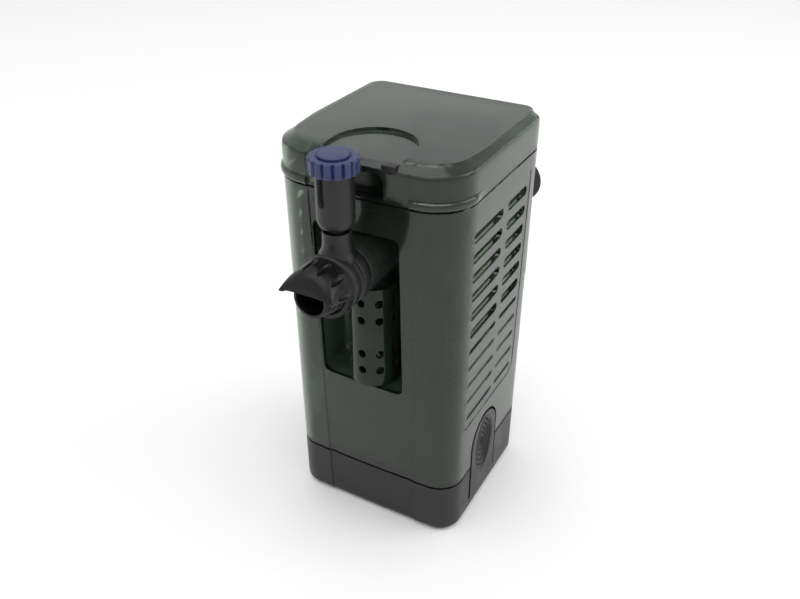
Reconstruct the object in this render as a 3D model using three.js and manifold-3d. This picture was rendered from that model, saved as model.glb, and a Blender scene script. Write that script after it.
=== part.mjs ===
// An internal aquarium filter: a smoked translucent canister that stands on a black pump base, with a flip-up lid,
// a media basket, a motor and impeller, an outlet column, a swivelling outlet tee with a duck-bill nozzle and an
// air valve, two press-in latches and a suction-cup bracket. Millimetres, +Z up, -Y towards the outlet.
// The origin is at the middle of the base's underside.
import * as THREE from "three";
import { mergeVertices } from "three/addons/utils/BufferGeometryUtils.js";
import Module from "manifold-3d";

const wasm = await Module();
wasm.setup();

// ---- Driving dimensions -------------------------------------------------------------------------------------
const HEIGHT = 240; // top of the closed lid
const BASE_TOP = 36; // base, canister and lid are stacked with a fine seam between them
const LID_SEAM = 218.5;
const SEAM = 0.3;
const WALL = 2.6;
const GAP = 0.35; // running gap between pieces that touch

// The casing's outline changes slowly with height: it is this big at the floor, and grows by the second number.
const HALF_WIDTH = [54.5, 0.6];
const FRONT = [49.4, 10.3];
const BACK = [49.4, 2.8];
const BOW = [1.1, 4.5]; // how far the middle of the front stands out past its corners
const FRONT_RADIUS = [14, 10];
const BACK_RADIUS = [8, 0];
const lean = ([start, growth], z) => start + (growth * z) / HEIGHT;

const CHANNEL_HALF = 24.8; // a shallow channel runs up the middle of the front
const CHANNEL_DEPTH = 1.3;

const WINDOW = { half: 24.4, low: 100, high: 199.5, back: -29.4, wall: 1.2 };
const SLOT = { top: 198.5, pitch: 11.65, tall: 5.0, rows: 7, thinRows: 1 };
const LATCH = { middle: -4.6, half: 17.4, foot: 10, shoulder: 48 };

const HINGE = { y: 56, z: 222.4, radius: 3.4, pin: 1.5, half: 20 };

const PUMP_Y = -3; // the rotor's axis stands at x = 0, y = PUMP_Y
const MOTOR = { half: 37, front: -38, back: 44, low: 3.4, high: 77 };
const CHAMBER = { half: 29, front: -49.2, back: 22, high: 97, bore: 19.5, floor: 79.5 };
const RISER = { y: -40, radius: 7.5, wall: 1.4 };

const OUTLET_Z = 182.5; // axis of the outlet socket, the tee and the nozzle, along Y
const COLUMN = { y: -43.6, radius: 12, wall: 1.8, low: 101.9, high: 165 };
const SOCKET = { radius: 15, bore: 12.9, back: -33.2, front: -68.2 };
const TEE = { back: -57, shoulder: -68.6, front: -86, radius: 15.6, bore: 8.6 };
const NECK = { y: -76, radius: 7.2, bore: 4.6, top: 209 };
const VALVE = { radius: 9.4, low: 210.5, high: 239 };
const KNOB = { radius: 12.3, low: 239.4, high: 248, lobes: 15 };
const NOZZLE = { radius: 15.4, back: -86.35, collar: -91.5, lip: -105.5, mouth: -101.8, mouthRadius: 9.2 };

const BASKET = { half: 38, front: -27, back: 43, low: 98, high: 204, wall: 1.6 };
const BRACKET = { plate: [56.4, 59.4], half: 50, low: 122, high: 203 };
const RAIL = { x: 22, low: 150, high: 201 };
const CUP = { x: 36, high: 186, lowX: 28, low: 134, face: 72, radius: 14 };

// ---- Solids from three.js geometry ---------------------------------------------------------------------------
function solid(geometry) {
  const bare = geometry.index ? geometry.toNonIndexed() : geometry.clone();
  bare.deleteAttribute("normal");
  bare.deleteAttribute("uv");
  const merged = mergeVertices(bare, 1e-4);
  const vertProperties = new Float32Array(merged.attributes.position.array);
  const triVerts = new Uint32Array(merged.index.array);
  const made = new wasm.Manifold(new wasm.Mesh({ numProp: 3, vertProperties, triVerts }));
  if (made.volume() > 0) return made;
  triVerts.reverse(); // a profile drawn the other way round is turned right side out
  return new wasm.Manifold(new wasm.Mesh({ numProp: 3, vertProperties, triVerts }));
}

function geometryOf(body) {
  const mesh = body.getMesh();
  const geometry = new THREE.BufferGeometry();
  geometry.setAttribute("position", new THREE.BufferAttribute(new Float32Array(mesh.vertProperties), 3));
  geometry.setIndex(new THREE.BufferAttribute(new Uint32Array(mesh.triVerts), 1));
  geometry.computeVertexNormals();
  return geometry;
}

const join = (...bodies) => bodies.reduce((a, b) => a.add(b));
const cut = (body, ...tools) => tools.reduce((a, b) => a.subtract(b), body);

function block(low, high) {
  const size = high.map((v, i) => v - low[i]);
  const middle = high.map((v, i) => (v + low[i]) / 2);
  return solid(new THREE.BoxGeometry(...size).translate(...middle));
}

// Turns a geometry made along +Z (extrusions) onto another axis, keeping it right-handed.
function alongAxis(geometry, axis, start, end) {
  const turn = new THREE.Matrix4();
  if (axis === "x") turn.makeBasis(vec(0, 1, 0), vec(0, 0, 1), vec(1, 0, 0)).setPosition(start, 0, 0);
  if (axis === "y") turn.makeBasis(vec(1, 0, 0), vec(0, 0, 1), vec(0, -1, 0)).setPosition(0, end, 0);
  if (axis === "z") turn.makeTranslation(0, 0, start);
  return geometry.applyMatrix4(turn);
}

function vec(x, y, z) {
  return new THREE.Vector3(x, y, z);
}

// A flat outline (x,y for z; x,z for y; y,z for x) carried straight from start to end along an axis.
function prism(shape, axis, start, end, curveSegments = 6) {
  const options = { depth: end - start, bevelEnabled: false, curveSegments };
  return solid(alongAxis(new THREE.ExtrudeGeometry(shape, options), axis, start, end));
}

// A straight or tapered round bar. `at` is its centre in the other two axes, in x, y, z order.
function rod(axis, radius, start, end, at, sides = 20, endRadius = radius) {
  const bar = new THREE.CylinderGeometry(endRadius, radius, end - start, sides);
  const middle = (start + end) / 2;
  if (axis === "x") bar.rotateZ(-Math.PI / 2).translate(middle, at[0], at[1]);
  if (axis === "y") bar.translate(at[0], middle, at[1]);
  if (axis === "z") bar.rotateX(Math.PI / 2).translate(at[0], at[1], middle);
  return solid(bar);
}

// A turned piece about the Z axis through (x, y); the profile is [radius, z] pairs from axis to axis.
function turned(profile, x, y, sides = 24) {
  const points = profile.map(([radius, z]) => new THREE.Vector2(radius, z));
  return solid(new THREE.LatheGeometry(points, sides).rotateX(Math.PI / 2).translate(x, y, 0));
}

// The same about an axis along Y through (x, z); the profile is [radius, y] pairs.
function turnedAlongY(profile, x, z, sides = 16) {
  const points = profile.map(([radius, y]) => new THREE.Vector2(radius, y));
  return solid(new THREE.LatheGeometry(points, sides).translate(x, 0, z));
}

function roundedRectangle(halfX, halfY, radius, x = 0, y = 0) {
  const shape = new THREE.Shape();
  shape.absarc(x + halfX - radius, y - halfY + radius, radius, -Math.PI / 2, 0);
  shape.absarc(x + halfX - radius, y + halfY - radius, radius, 0, Math.PI / 2);
  shape.absarc(x - halfX + radius, y + halfY - radius, radius, Math.PI / 2, Math.PI);
  shape.absarc(x - halfX + radius, y - halfY + radius, radius, Math.PI, 1.5 * Math.PI);
  return shape;
}

// ---- The casing's outline ------------------------------------------------------------------------------------
// One closed ring of [x, y] points: a bowed front, large front corners, straight sides and small back corners.
function outline(z, inset = 0, backInset = inset) {
  const half = lean(HALF_WIDTH, z) - inset;
  const back = lean(BACK, z) - backInset;
  const bow = lean(BOW, z);
  const frontRadius = Math.max(1, lean(FRONT_RADIUS, z) - inset);
  const backRadius = Math.max(1, lean(BACK_RADIUS, z) - backInset);
  const frontY = (x) => -lean(FRONT, z) + inset + bow * (x / half) ** 2;
  const cornerX = half - frontRadius;
  const slope = Math.atan((2 * bow * cornerX) / half ** 2);
  const tangentX = cornerX + frontRadius * Math.sin(slope);
  const cornerY = frontY(tangentX) + frontRadius * Math.cos(slope);
  const right = [];
  const frontSteps = 4;
  for (let i = 0; i < frontSteps; i++) {
    const x = (tangentX * i) / frontSteps;
    right.push([x, frontY(x)]);
  }
  const arc = (cx, cy, radius, from, to, steps) => {
    for (let i = 0; i <= steps; i++) {
      const angle = from + ((to - from) * i) / steps;
      right.push([cx + radius * Math.cos(angle), cy + radius * Math.sin(angle)]);
    }
  };
  arc(cornerX, cornerY, frontRadius, slope - Math.PI / 2, 0, 5);
  arc(half - backRadius, back - backRadius, backRadius, 0, Math.PI / 2, 3);
  const left = right.slice(1).reverse().map(([x, y]) => [-x, y]);
  return [...right, ...left];
}

// A closed body through rings that have the same number of points, lowest first.
function loft(rings) {
  const count = rings[0].points.length;
  const positions = [];
  const index = [];
  for (const { z, points } of rings) for (const [x, y] of points) positions.push(x, y, z);
  for (let level = 0; level + 1 < rings.length; level++)
    for (let i = 0; i < count; i++) {
      const a = level * count + i;
      const b = level * count + ((i + 1) % count);
      index.push(a, b, b + count, a, b + count, a + count);
    }
  const cap = (level, flip) => {
    const { z, points } = rings[level];
    const centre = positions.length / 3;
    const mean = (k) => points.reduce((sum, p) => sum + p[k], 0) / count;
    positions.push(mean(0), mean(1), z);
    for (let i = 0; i < count; i++) {
      const a = level * count + i;
      const b = level * count + ((i + 1) % count);
      index.push(centre, ...(flip ? [b, a] : [a, b]));
    }
  };
  cap(0, true);
  cap(rings.length - 1, false);
  const geometry = new THREE.BufferGeometry();
  geometry.setAttribute("position", new THREE.Float32BufferAttribute(positions, 3));
  geometry.setIndex(index);
  return solid(geometry);
}

// The casing's solid between two heights, drawn in by an inset.
function casing(low, high, inset = 0, steps = 1) {
  const rings = [];
  for (let i = 0; i <= steps; i++) {
    const z = low + ((high - low) * i) / steps;
    rings.push({ z, points: outline(z, inset) });
  }
  return loft(rings);
}

// What the front channel takes away between two heights.
function channelCut(low, high) {
  const slab = block([-CHANNEL_HALF, -90, low], [CHANNEL_HALF, -30, high]);
  return slab.subtract(casing(low - 1, high + 1, CHANNEL_DEPTH));
}

// The side notch that a latch tongue fills: straight sides and a round top, in the side view.
function latchShape(clearance, foot) {
  const half = LATCH.half + clearance;
  const shape = new THREE.Shape();
  shape.moveTo(LATCH.middle - half, foot - clearance);
  shape.lineTo(LATCH.middle + half, foot - clearance);
  shape.absarc(LATCH.middle, LATCH.shoulder, half, 0, Math.PI);
  shape.closePath();
  return shape;
}

// ---- Group and materials -------------------------------------------------------------------------------------
const filter = new THREE.Group();

const finishes = {
  smoked: { color: 0x3d4842, roughness: 0.25, metalness: 0, transparent: true, opacity: 0.6 },
  clear: { color: 0x55665c, roughness: 0.15, metalness: 0, transparent: true, opacity: 0.5 },
  black: { color: 0x1c1d1e, roughness: 0.45, metalness: 0 },
  blue: { color: 0x2b3170, roughness: 0.4, metalness: 0 },
  rubber: { color: 0x141414, roughness: 0.8, metalness: 0 },
  grey: { color: 0x4a4d4e, roughness: 0.6, metalness: 0 },
  steel: { color: 0xa8abad, roughness: 0.3, metalness: 1 },
  copper: { color: 0x9a4a20, roughness: 0.4, metalness: 0.8 },
  ceramic: { color: 0xe6e2da, roughness: 0.3, metalness: 0 },
  foam: { color: 0x24262a, roughness: 1, metalness: 0 },
  media: { color: 0x8c8577, roughness: 0.9, metalness: 0 },
};

function add(name, body, finish) {
  const mesh = new THREE.Mesh(geometryOf(body), new THREE.MeshStandardMaterial(finishes[finish]));
  mesh.name = name;
  filter.add(mesh);
}

// ---- Base ----------------------------------------------------------------------------------------------------
function baseShell() {
  const footRadius = 5;
  const rings = [];
  for (let i = 0; i <= 4; i++) {
    const angle = (i / 4) * (Math.PI / 2);
    const z = footRadius * (1 - Math.cos(angle));
    rings.push({ z, points: outline(z, footRadius * (1 - Math.sin(angle))) });
  }
  rings.push({ z: BASE_TOP, points: outline(BASE_TOP) });
  const spigotSolid = join(casing(BASE_TOP - 8, BASE_TOP, WALL), casing(BASE_TOP - 8, BASE_TOP + 5, WALL + GAP));
  const spigot = spigotSolid.subtract(casing(0, 60, WALL + 2.5));
  const body = join(cut(loft(rings), casing(3, 50, WALL + 0.4)), spigot);
  const notches = [1, -1].map((side) =>
    prism(latchShape(GAP, LATCH.foot), "x", side > 0 ? 46 : -60, side > 0 ? 60 : -46));
  const glandHole = rod("y", 4.4, 40, 60, [0, 18], 20);
  return cut(body, channelCut(-5, BASE_TOP + 8), glandHole, ...notches);
}

// A latch tongue: a springy arch-topped tongue in the side wall, with an oval thumb dish and two catch lugs.
function latch(side) {
  const face = lean(HALF_WIDTH, 40);
  const span = (near, far) => (side > 0 ? [near, far] : [-far, -near]);
  const [inner, outer] = span(face - WALL, face + 0.3);
  const [lugInner, lugOuter] = span(face - 5, face - WALL - 0.4);
  const tongue = prism(latchShape(0, LATCH.foot), "x", inner, outer, 10);
  const plate = prism(latchShape(-2, LATCH.foot + 28), "x", ...span(face - 5, face - WALL + 0.1), 8);
  const reach = LATCH.half + 3.4;
  const lug = block([lugInner, LATCH.middle - reach, 50.8], [lugOuter, LATCH.middle + reach, 54]);
  const dish = new THREE.SphereGeometry(1, 20, 12).scale(1.6, 11.5, 21);
  dish.translate(side * (face + 0.4), LATCH.middle, 43);
  return cut(join(tongue, plate, lug), solid(dish));
}

function cordGland() {
  const profile = [[0, 46.2], [3.9, 46.2], [3.9, 49.9], [6.2, 49.9], [6.2, 52], [5.2, 55], [3, 55], [3, 50.5], [0, 50.5]];
  return turnedAlongY(profile, 0, 18, 24);
}

add("base_shell", baseShell(), "black");
add("latch_right", latch(1), "black");
add("latch_left", latch(-1), "black");
add("cord_gland", cordGland(), "rubber");

// ---- Canister ------------------------------------------------------------------------------------------------
function louvres() {
  const cuts = [];
  for (const column of [0, 1])
    for (let row = 0; row < SLOT.rows; row++) {
      const z = SLOT.top - SLOT.pitch * row;
      const tall = row < SLOT.rows - SLOT.thinRows ? SLOT.tall : SLOT.tall / 2;
      const start = column ? 4.2 + 0.015 * z : -31 - 0.029 * z;
      const end = column ? 27 + 0.034 * z : 1;
      const shape = roundedRectangle((end - start) / 2, tall / 2, tall / 2 - 0.05, (start + end) / 2, z);
      cuts.push(prism(shape, "x", 45, 62, 1), prism(shape, "x", -62, -45, 1));
    }
  return cuts;
}

function backRail(side) {
  const x = side * RAIL.x;
  const stem = block([x - 2, 49.5, RAIL.low], [x + 2, 54.4, RAIL.high]);
  const head = block([x - 5, 54, RAIL.low], [x + 5, 55.8, RAIL.high]);
  return stem.add(head);
}

function hingeLug(side) {
  const near = HINGE.half + 0.5;
  const [low, high] = side > 0 ? [near, near + 6.5] : [-near - 6.5, -near];
  const foot = block([low, 50.4, 206], [high, 59.2, 217.9]);
  const post = block([low, 52.9, 206], [high, HINGE.y + HINGE.radius, HINGE.z]);
  return join(foot, post, rod("x", HINGE.radius, low, high, [HINGE.y, HINGE.z], 24));
}

function canister() {
  const low = BASE_TOP + SEAM;
  const high = LID_SEAM - SEAM;
  const wall = casing(low, high).subtract(casing(low - 1, high + 1, WALL));
  const opening = block([-WINDOW.half, -80, WINDOW.low], [WINDOW.half, -40, WINDOW.high]);
  const notches = [1, -1].map((side) =>
    prism(latchShape(GAP, 20), "x", side > 0 ? 46 : -60, side > 0 ? 60 : -46, 10));
  const rib = (x, y) => block([x - 1.6, y - 1.4, 46], [x + 1.6, y + 1.4, 50.4]);
  const ribX = lean(HALF_WIDTH, 48) - WALL - 1.2;
  const ribs = [1, -1].flatMap((side) =>
    [-1, 1].map((end) => rib(side * ribX, LATCH.middle + end * (LATCH.half + 2.2))));
  const pinHole = rod("x", HINGE.pin + 0.1, -40, 40, [HINGE.y, HINGE.z], 20);
  const body = cut(wall, channelCut(low - 1, high + 1), opening, ...notches, ...louvres());
  return cut(join(body, ...ribs, backRail(1), backRail(-1), hingeLug(1), hingeLug(-1)), pinHole);
}

// The tray behind the front window: sill, sides, top and back wall, with a round hole in the sill for the riser.
function outletFrame() {
  const half = WINDOW.half - GAP;
  const wall = WINDOW.wall;
  const box = block([-half, -80, WINDOW.low + GAP], [half, WINDOW.back, WINDOW.high - GAP]);
  const space = block([-half + wall, -80, WINDOW.low + GAP + wall], [half - wall, WINDOW.back - wall, WINDOW.high - GAP - wall]);
  const shell = box.intersect(casing(WINDOW.low - 5, WINDOW.high + 5, CHANNEL_DEPTH + 0.2)).subtract(space);
  return cut(shell, rod("z", RISER.radius + GAP, 90, 110, [0, RISER.y], 16));
}

add("canister_body", canister(), "smoked");
add("outlet_frame", outletFrame(), "clear");

// ---- Lid -----------------------------------------------------------------------------------------------------
function lid() {
  const bevelLow = 234.2;
  const outer = loft([
    { z: LID_SEAM, points: outline(LID_SEAM) },
    { z: bevelLow, points: outline(bevelLow) },
    { z: HEIGHT, points: outline(HEIGHT, 7, 2.8) },
  ]);
  const hollow = casing(LID_SEAM - 1, 230, WALL);
  const roof = loft([
    { z: 229.9, points: outline(229.9, WALL) },
    { z: 234.6, points: outline(234.6, 7, 5) },
  ]);
  const shelf = casing(219, 222, 2);
  const rim = join(shelf, casing(213, 219.1, 3.5)).subtract(casing(212, 223, 5.2));
  const bead = loft([
    { z: LID_SEAM + 0.2, points: outline(LID_SEAM, -0.5) },
    { z: LID_SEAM + 1.6, points: outline(LID_SEAM, -1.7) },
    { z: LID_SEAM + 4.2, points: outline(LID_SEAM, -1.7) },
    { z: LID_SEAM + 5.8, points: outline(LID_SEAM, -0.3) },
  ]);
  const frontBead = cut(bead, block([-80, -36, 210], [80, 80, 235]), casing(217, 226, 1));
  const scoop = join(
    rod("z", 22.7, HEIGHT - 2, HEIGHT + 5, [0, -40], 28),
    block([-22.7, -80, HEIGHT - 2], [22.7, -40, HEIGHT + 5]));
  const pocket = prism(roundedRectangle(15.5, 5.8, 3, 0, 225.4), "y", -80, -51.5);
  const knuckle = join(
    block([-HINGE.half, 50, 219.4], [HINGE.half, HINGE.y, 225.8]),
    rod("x", HINGE.radius, -HINGE.half, HINGE.half, [HINGE.y, HINGE.z], 24));
  const pinHole = rod("x", HINGE.pin + 0.1, -40, 40, [HINGE.y, HINGE.z], 20);
  const shell = join(cut(outer, hollow, roof), rim, frontBead);
  const pocketLining = block([-17.5, -56.5, 219.2], [17.5, -49.7, 232.8]);
  const solidLid = join(shell, pocketLining.intersect(outer), knuckle);
  return cut(solidLid, channelCut(LID_SEAM - 8, HEIGHT + 3), scoop, pocket, pinHole);
}

add("lid", lid(), "smoked");
add("hinge_pin", rod("x", HINGE.pin, -26.5, 26.5, [HINGE.y, HINGE.z], 20), "steel");

// ---- Motor and pump ------------------------------------------------------------------------------------------
const WELL = { outer: 15.5, inner: 13.2, floor: 32 };

function motorHousing() {
  const middle = (MOTOR.front + MOTOR.back) / 2;
  const depth = (MOTOR.back - MOTOR.front) / 2;
  const box = prism(roundedRectangle(MOTOR.half, depth, 8, 0, middle), "z", MOTOR.low, MOTOR.high, 4);
  const space = prism(roundedRectangle(MOTOR.half - 2.4, depth - 2.4, 6, 0, middle), "z", 0, MOTOR.high - 3, 4);
  const well = rod("z", WELL.outer, WELL.floor - 3, MOTOR.high - 1, [0, PUMP_Y]);
  const bore = rod("z", WELL.inner, WELL.floor, MOTOR.high + 1, [0, PUMP_Y]);
  return cut(join(box.subtract(space), well), bore);
}

function motorPlate() {
  const middle = (MOTOR.front + MOTOR.back) / 2;
  const depth = (MOTOR.back - MOTOR.front) / 2 - 2.4 - GAP;
  return prism(roundedRectangle(MOTOR.half - 2.4 - GAP, depth, 5.6, 0, middle), "z", 5, 8, 4);
}

function statorCore() {
  const core = block([-28, -17, 40], [28, 36, 60]);
  return cut(core, rod("z", WELL.outer + GAP, 30, 70, [0, PUMP_Y]), block([-16, -10, 30], [16, 24, 70]));
}

function statorCoil() {
  return cut(block([-14.5, 18.5, 33], [14.5, 41, 67]), block([-20, 23.6, 39.6], [20, 36.4, 60.4]));
}

function impeller() {
  const hub = rod("z", 5.5, 73.5, 90, [0, PUMP_Y], 20);
  const shroud = rod("z", 17, 80.6, 82.2, [0, PUMP_Y], 24);
  const blades = [];
  for (let i = 0; i < 6; i++)
    blades.push(block([4, -0.9, 82], [17, 0.9, 90]).rotate([0, 0, i * 60 + 18]).translate([0, PUMP_Y, 0]));
  return cut(join(hub, shroud, ...blades), rod("z", 1.65, 70, 95, [0, PUMP_Y], 16));
}

function pumpChamber() {
  const middle = (CHAMBER.front + CHAMBER.back) / 2;
  const depth = (CHAMBER.back - CHAMBER.front) / 2;
  const shape = roundedRectangle(CHAMBER.half, depth, 10, 0, middle);
  const block1 = prism(shape, "z", MOTOR.high + GAP, CHAMBER.high, 5);
  const bore = rod("z", CHAMBER.bore, CHAMBER.floor, CHAMBER.high + 1, [0, PUMP_Y], 24);
  const throat = rod("z", WELL.inner, MOTOR.high - 1, CHAMBER.floor + 1, [0, PUMP_Y]);
  const duct = block([-7, RISER.y, CHAMBER.floor + 1], [7, PUMP_Y - 12, 92.5]);
  const riserHole = rod("z", RISER.radius + GAP, CHAMBER.floor + 1, CHAMBER.high + 1, [0, RISER.y], 16);
  return cut(block1, bore, throat, duct, riserHole, ...screwPlaces().map(([x, y]) =>
    rod("z", 1.9, CHAMBER.floor, CHAMBER.high + 1, [x, y], 12)));
}

const screwPlaces = () => [[-23.5, -18], [23.5, -18], [-23.5, 15], [23.5, 15]];

function pumpCover() {
  const disc = rod("z", CHAMBER.bore - GAP, 93, 96.6, [0, PUMP_Y], 24);
  const eye = cut(rod("z", 11, 92, 98, [0, PUMP_Y], 24),
    block([-12, PUMP_Y - 1.2, 90], [12, PUMP_Y + 1.2, 99]), block([-1.2, PUMP_Y - 12, 90], [1.2, PUMP_Y + 12, 99]),
    rod("z", 4.2, 90, 99, [0, PUMP_Y], 20));
  return cut(disc, eye, rod("z", 2.75, 90, 95, [0, PUMP_Y], 20));
}

function screw(x, y) {
  return join(rod("z", 1.5, 84, 97.5, [x, y], 10), rod("z", 2.9, CHAMBER.high + GAP, 98.6, [x, y], 12));
}

add("motor_housing", motorHousing(), "grey");
add("motor_plate", motorPlate(), "black");
add("stator_core", statorCore(), "steel");
add("stator_coil", statorCoil(), "copper");
add("rotor_shaft", rod("z", 1.5, 34.4, 94.4, [0, PUMP_Y], 20), "ceramic");
add("lower_bush", cut(rod("z", 6, WELL.floor + GAP, 36, [0, PUMP_Y], 20), rod("z", 1.8, 34, 40, [0, PUMP_Y], 20)), "rubber");
add("upper_bush", cut(rod("z", 2.4, 90.6, 94.8, [0, PUMP_Y], 20), rod("z", 1.65, 90, 94.6, [0, PUMP_Y], 16)), "rubber");
add("rotor_magnet", cut(rod("z", 12, 36.5, 73, [0, PUMP_Y], 28), rod("z", 1.65, 30, 80, [0, PUMP_Y], 16)), "grey");
add("impeller", impeller(), "black");
add("pump_chamber", pumpChamber(), "grey");
add("pump_cover", pumpCover(), "grey");
screwPlaces().forEach(([x, y], i) => add(`pump_screw_${i + 1}`, screw(x, y), "steel"));

// ---- Outlet column, socket and riser -------------------------------------------------------------------------
// The column is a half-round tube with rows of round holes; the row beside the clip, half-way up, has none.
function flowColumn() {
  const { y, radius, wall, low, high } = COLUMN;
  const outer = join(rod("z", radius, low, high, [0, y], 24), block([-radius, y, low], [radius, -31.2, high]));
  const inner = join(rod("z", radius - wall, low - 1, high + 1, [0, y], 24),
    block([-radius + wall, y, low - 1], [radius - wall, -30, high + 1]));
  const holes = [];
  for (const row of [0, 1, 3, 4])
    for (const angle of [-90, -45, 0, 45, 90]) {
      const hole = rod("y", 2.4, -20, 0, [0, 156 - 10.9 * row], 8);
      holes.push(hole.rotate([0, 0, angle]).translate([0, y, 0]));
    }
  return cut(outer, inner, ...holes);
}

function outletSocket() {
  const { radius, bore, back, front } = SOCKET;
  const tube = rod("y", radius, front, back, [0, OUTLET_Z], 24);
  const foot = rod("z", 8.9, COLUMN.high + GAP, OUTLET_Z, [0, RISER.y], 28);
  const space = rod("y", bore, front - 1, back - 2.5, [0, OUTLET_Z], 24);
  const entry = rod("z", RISER.radius + GAP, 150, OUTLET_Z, [0, RISER.y], 16);
  return cut(join(tube, foot), space, entry);
}

add("riser_tube", cut(rod("z", RISER.radius, 90, 169, [0, RISER.y], 16),
  rod("z", RISER.radius - RISER.wall, 80, 180, [0, RISER.y], 16)), "clear");
add("flow_column", flowColumn(), "clear");
add("outlet_socket", outletSocket(), "clear");

// ---- Tee, nozzle and air valve -------------------------------------------------------------------------------
function teeBody() {
  const { back, shoulder, front, radius, bore } = TEE;
  const ring = join(
    rod("y", radius - 1.6, front, front + 1.6, [0, OUTLET_Z], 24, radius),
    rod("y", radius, front + 1.6, shoulder - 2, [0, OUTLET_Z], 24),
    rod("y", radius, shoulder - 2, shoulder, [0, OUTLET_Z], 24, radius - 1));
  const spigot = rod("y", SOCKET.bore - 0.6, shoulder - 1, back, [0, OUTLET_Z], 24);
  const groove = cut(rod("y", 20, -64.2, -61.4, [0, OUTLET_Z], 24), rod("y", 11.2, -70, -58, [0, OUTLET_Z], 24));
  const flare = rod("z", NECK.radius + 2.6, OUTLET_Z, 202, [0, NECK.y], 20, NECK.radius);
  const neck = flare.subtract(block([-20, TEE.shoulder, 160], [20, -50, 198]));
  const cup = rod("z", NECK.radius, 201.9, NECK.top, [0, NECK.y], 20);
  const cupBore = rod("z", NECK.radius - 1.3, 204, NECK.top + 1, [0, NECK.y], 24);
  const neckBore = rod("z", NECK.bore, OUTLET_Z, NECK.top, [0, NECK.y], 20);
  return cut(join(ring, spigot, neck, cup), rod("y", bore, front - 1, back + 1, [0, OUTLET_Z], 24), groove, cupBore, neckBore);
}

// The O-ring in the tee's groove: a thin torus about the outlet's axis.
function oRing() {
  const ring = new THREE.TorusGeometry(12.1, 0.65, 6, 20);
  return solid(ring.rotateX(Math.PI / 2).translate(0, -62.8, OUTLET_Z));
}

// The duck-bill hood: a round collar whose upper half narrows forwards to a flat straight lip at axis height.
function nozzleHood() {
  const { radius, back, collar, lip } = NOZZLE;
  const ring = cut(rod("y", radius, collar, back, [0, OUTLET_Z], 24),
    rod("y", radius - 2.2, collar - 1, back - 1.6, [0, OUTLET_Z], 24),
    rod("y", TEE.bore, collar - 1, back + 1, [0, OUTLET_Z], 24));
  const bill = (half, rise, grow) => {
    const sides = 12;
    const rings = [];
    const steps = 4;
    for (let k = 0; k <= steps; k++) {
      const along = k / steps;
      const y = collar + (lip - collar) * along;
      const height = rise * Math.sqrt(1 - along ** 3 * 0.985) + grow;
      const points = [];
      for (let i = 0; i <= sides; i++) {
        const angle = (Math.PI * i) / sides;
        points.push([half * Math.cos(angle), height * Math.sin(angle)]);
      }
      points.push([-half, -1.2], [half, -1.2]);
      rings.push({ z: y, points });
    }
    return rings;
  };
  const place = (rings) => {
    const made = loft(rings.map(({ z, points }) => ({ z: -z, points })));
    return made.rotate([90, 0, 0]).translate([0, 0, OUTLET_Z]);
  };
  const outer = place(bill(radius, radius - 1, 1));
  const inner = place(bill(radius - 2, radius - 2, 0).map((ring, k) => ({ ...ring, z: ring.z + (k ? -0.8 : 0.8) })));
  return join(ring, cut(outer, inner, block([-20, -120, OUTLET_Z - 8], [20, -80, OUTLET_Z - 0.8])));
}

// The jet tube inside the hood: a short cone with raised rings and a round mouth.
function jetTube() {
  const { mouth, mouthRadius } = NOZZLE;
  const start = -88.4;
  const rings = 3;
  const length = start - mouth;
  const profile = [[8.2, start]];
  for (let i = 0; i < rings; i++) {
    const radius = 12.2 - ((12.2 - mouthRadius) * i) / rings;
    const y = start - (length * i) / rings;
    profile.push([radius, y], [radius, y - 1.5], [radius - 0.9, y - 2.1], [radius - 0.9, y - length / rings]);
  }
  profile.push([mouthRadius, mouth], [7.4, mouth], [8.2, start]);
  return turnedAlongY(profile, 0, OUTLET_Z);
}

function airValveBody() {
  const { radius, low, high } = VALVE;
  const profile = [[0, low], [radius - 3, low], [radius - 1, low + 1.2], [radius, low + 3.4], [radius, high], [0, high]];
  const spigot = rod("z", NECK.bore - GAP, 200, low + 1, [0, NECK.y], 20);
  const bore = rod("z", 5.4, 215, high + 1, [0, NECK.y], 24);
  const airWay = rod("z", 1.6, 190, 220, [0, NECK.y], 12);
  const slot = prism(roundedRectangle(2, 8, 1.9, 0, 234), "y", -12, 0).rotate([0, 0, -60]);
  return cut(join(turned(profile, 0, NECK.y, 24), spigot), bore, airWay, slot.translate([0, NECK.y, 0]));
}

function knob() {
  const { radius, low, high, lobes } = KNOB;
  const shape = new THREE.Shape();
  const steps = lobes * 4;
  for (let i = 0; i < steps; i++) {
    const angle = (i / steps) * 2 * Math.PI;
    const reach = radius - 1.1 * (0.5 - 0.5 * Math.cos(lobes * angle)) ** 3;
    const point = [reach * Math.cos(angle), NECK.y + reach * Math.sin(angle)];
    i ? shape.lineTo(...point) : shape.moveTo(...point);
  }
  shape.closePath();
  const body = prism(shape, "z", low, high - 2.2, 1);
  const crown = turned([[0, low + 2], [radius - 1.4, low + 2], [radius - 1.4, high - 2.2], [radius - 3.4, high - 1], [0, high - 1]], 0, NECK.y, 24);
  const recess = rod("z", 7.7, high - 2.4, high + 1, [0, NECK.y], 24);
  const hollow = rod("z", 9.9, low - 1, low + 2, [0, NECK.y], 20);
  const stemHole = rod("z", 3.3, low - 1, low + 6, [0, NECK.y], 20);
  return cut(join(body, crown), recess, hollow, stemHole);
}

add("tee_body", teeBody(), "black");
add("tee_o_ring", oRing(), "rubber");
add("nozzle_hood", nozzleHood(), "black");
add("jet_tube", jetTube(), "black");
add("air_valve_body", airValveBody(), "black");
add("valve_stem", turned([[0, 221], [1.4, 222], [4.6, 226], [4.6, 229], [3, 229.5], [3, 244.8], [0, 244.8]], 0, NECK.y, 20), "grey");
add("knob", knob(), "blue");
add("knob_cap", rod("z", 7.4, KNOB.high - 2.1, KNOB.high, [0, NECK.y], 24, 6.9), "blue");

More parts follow.
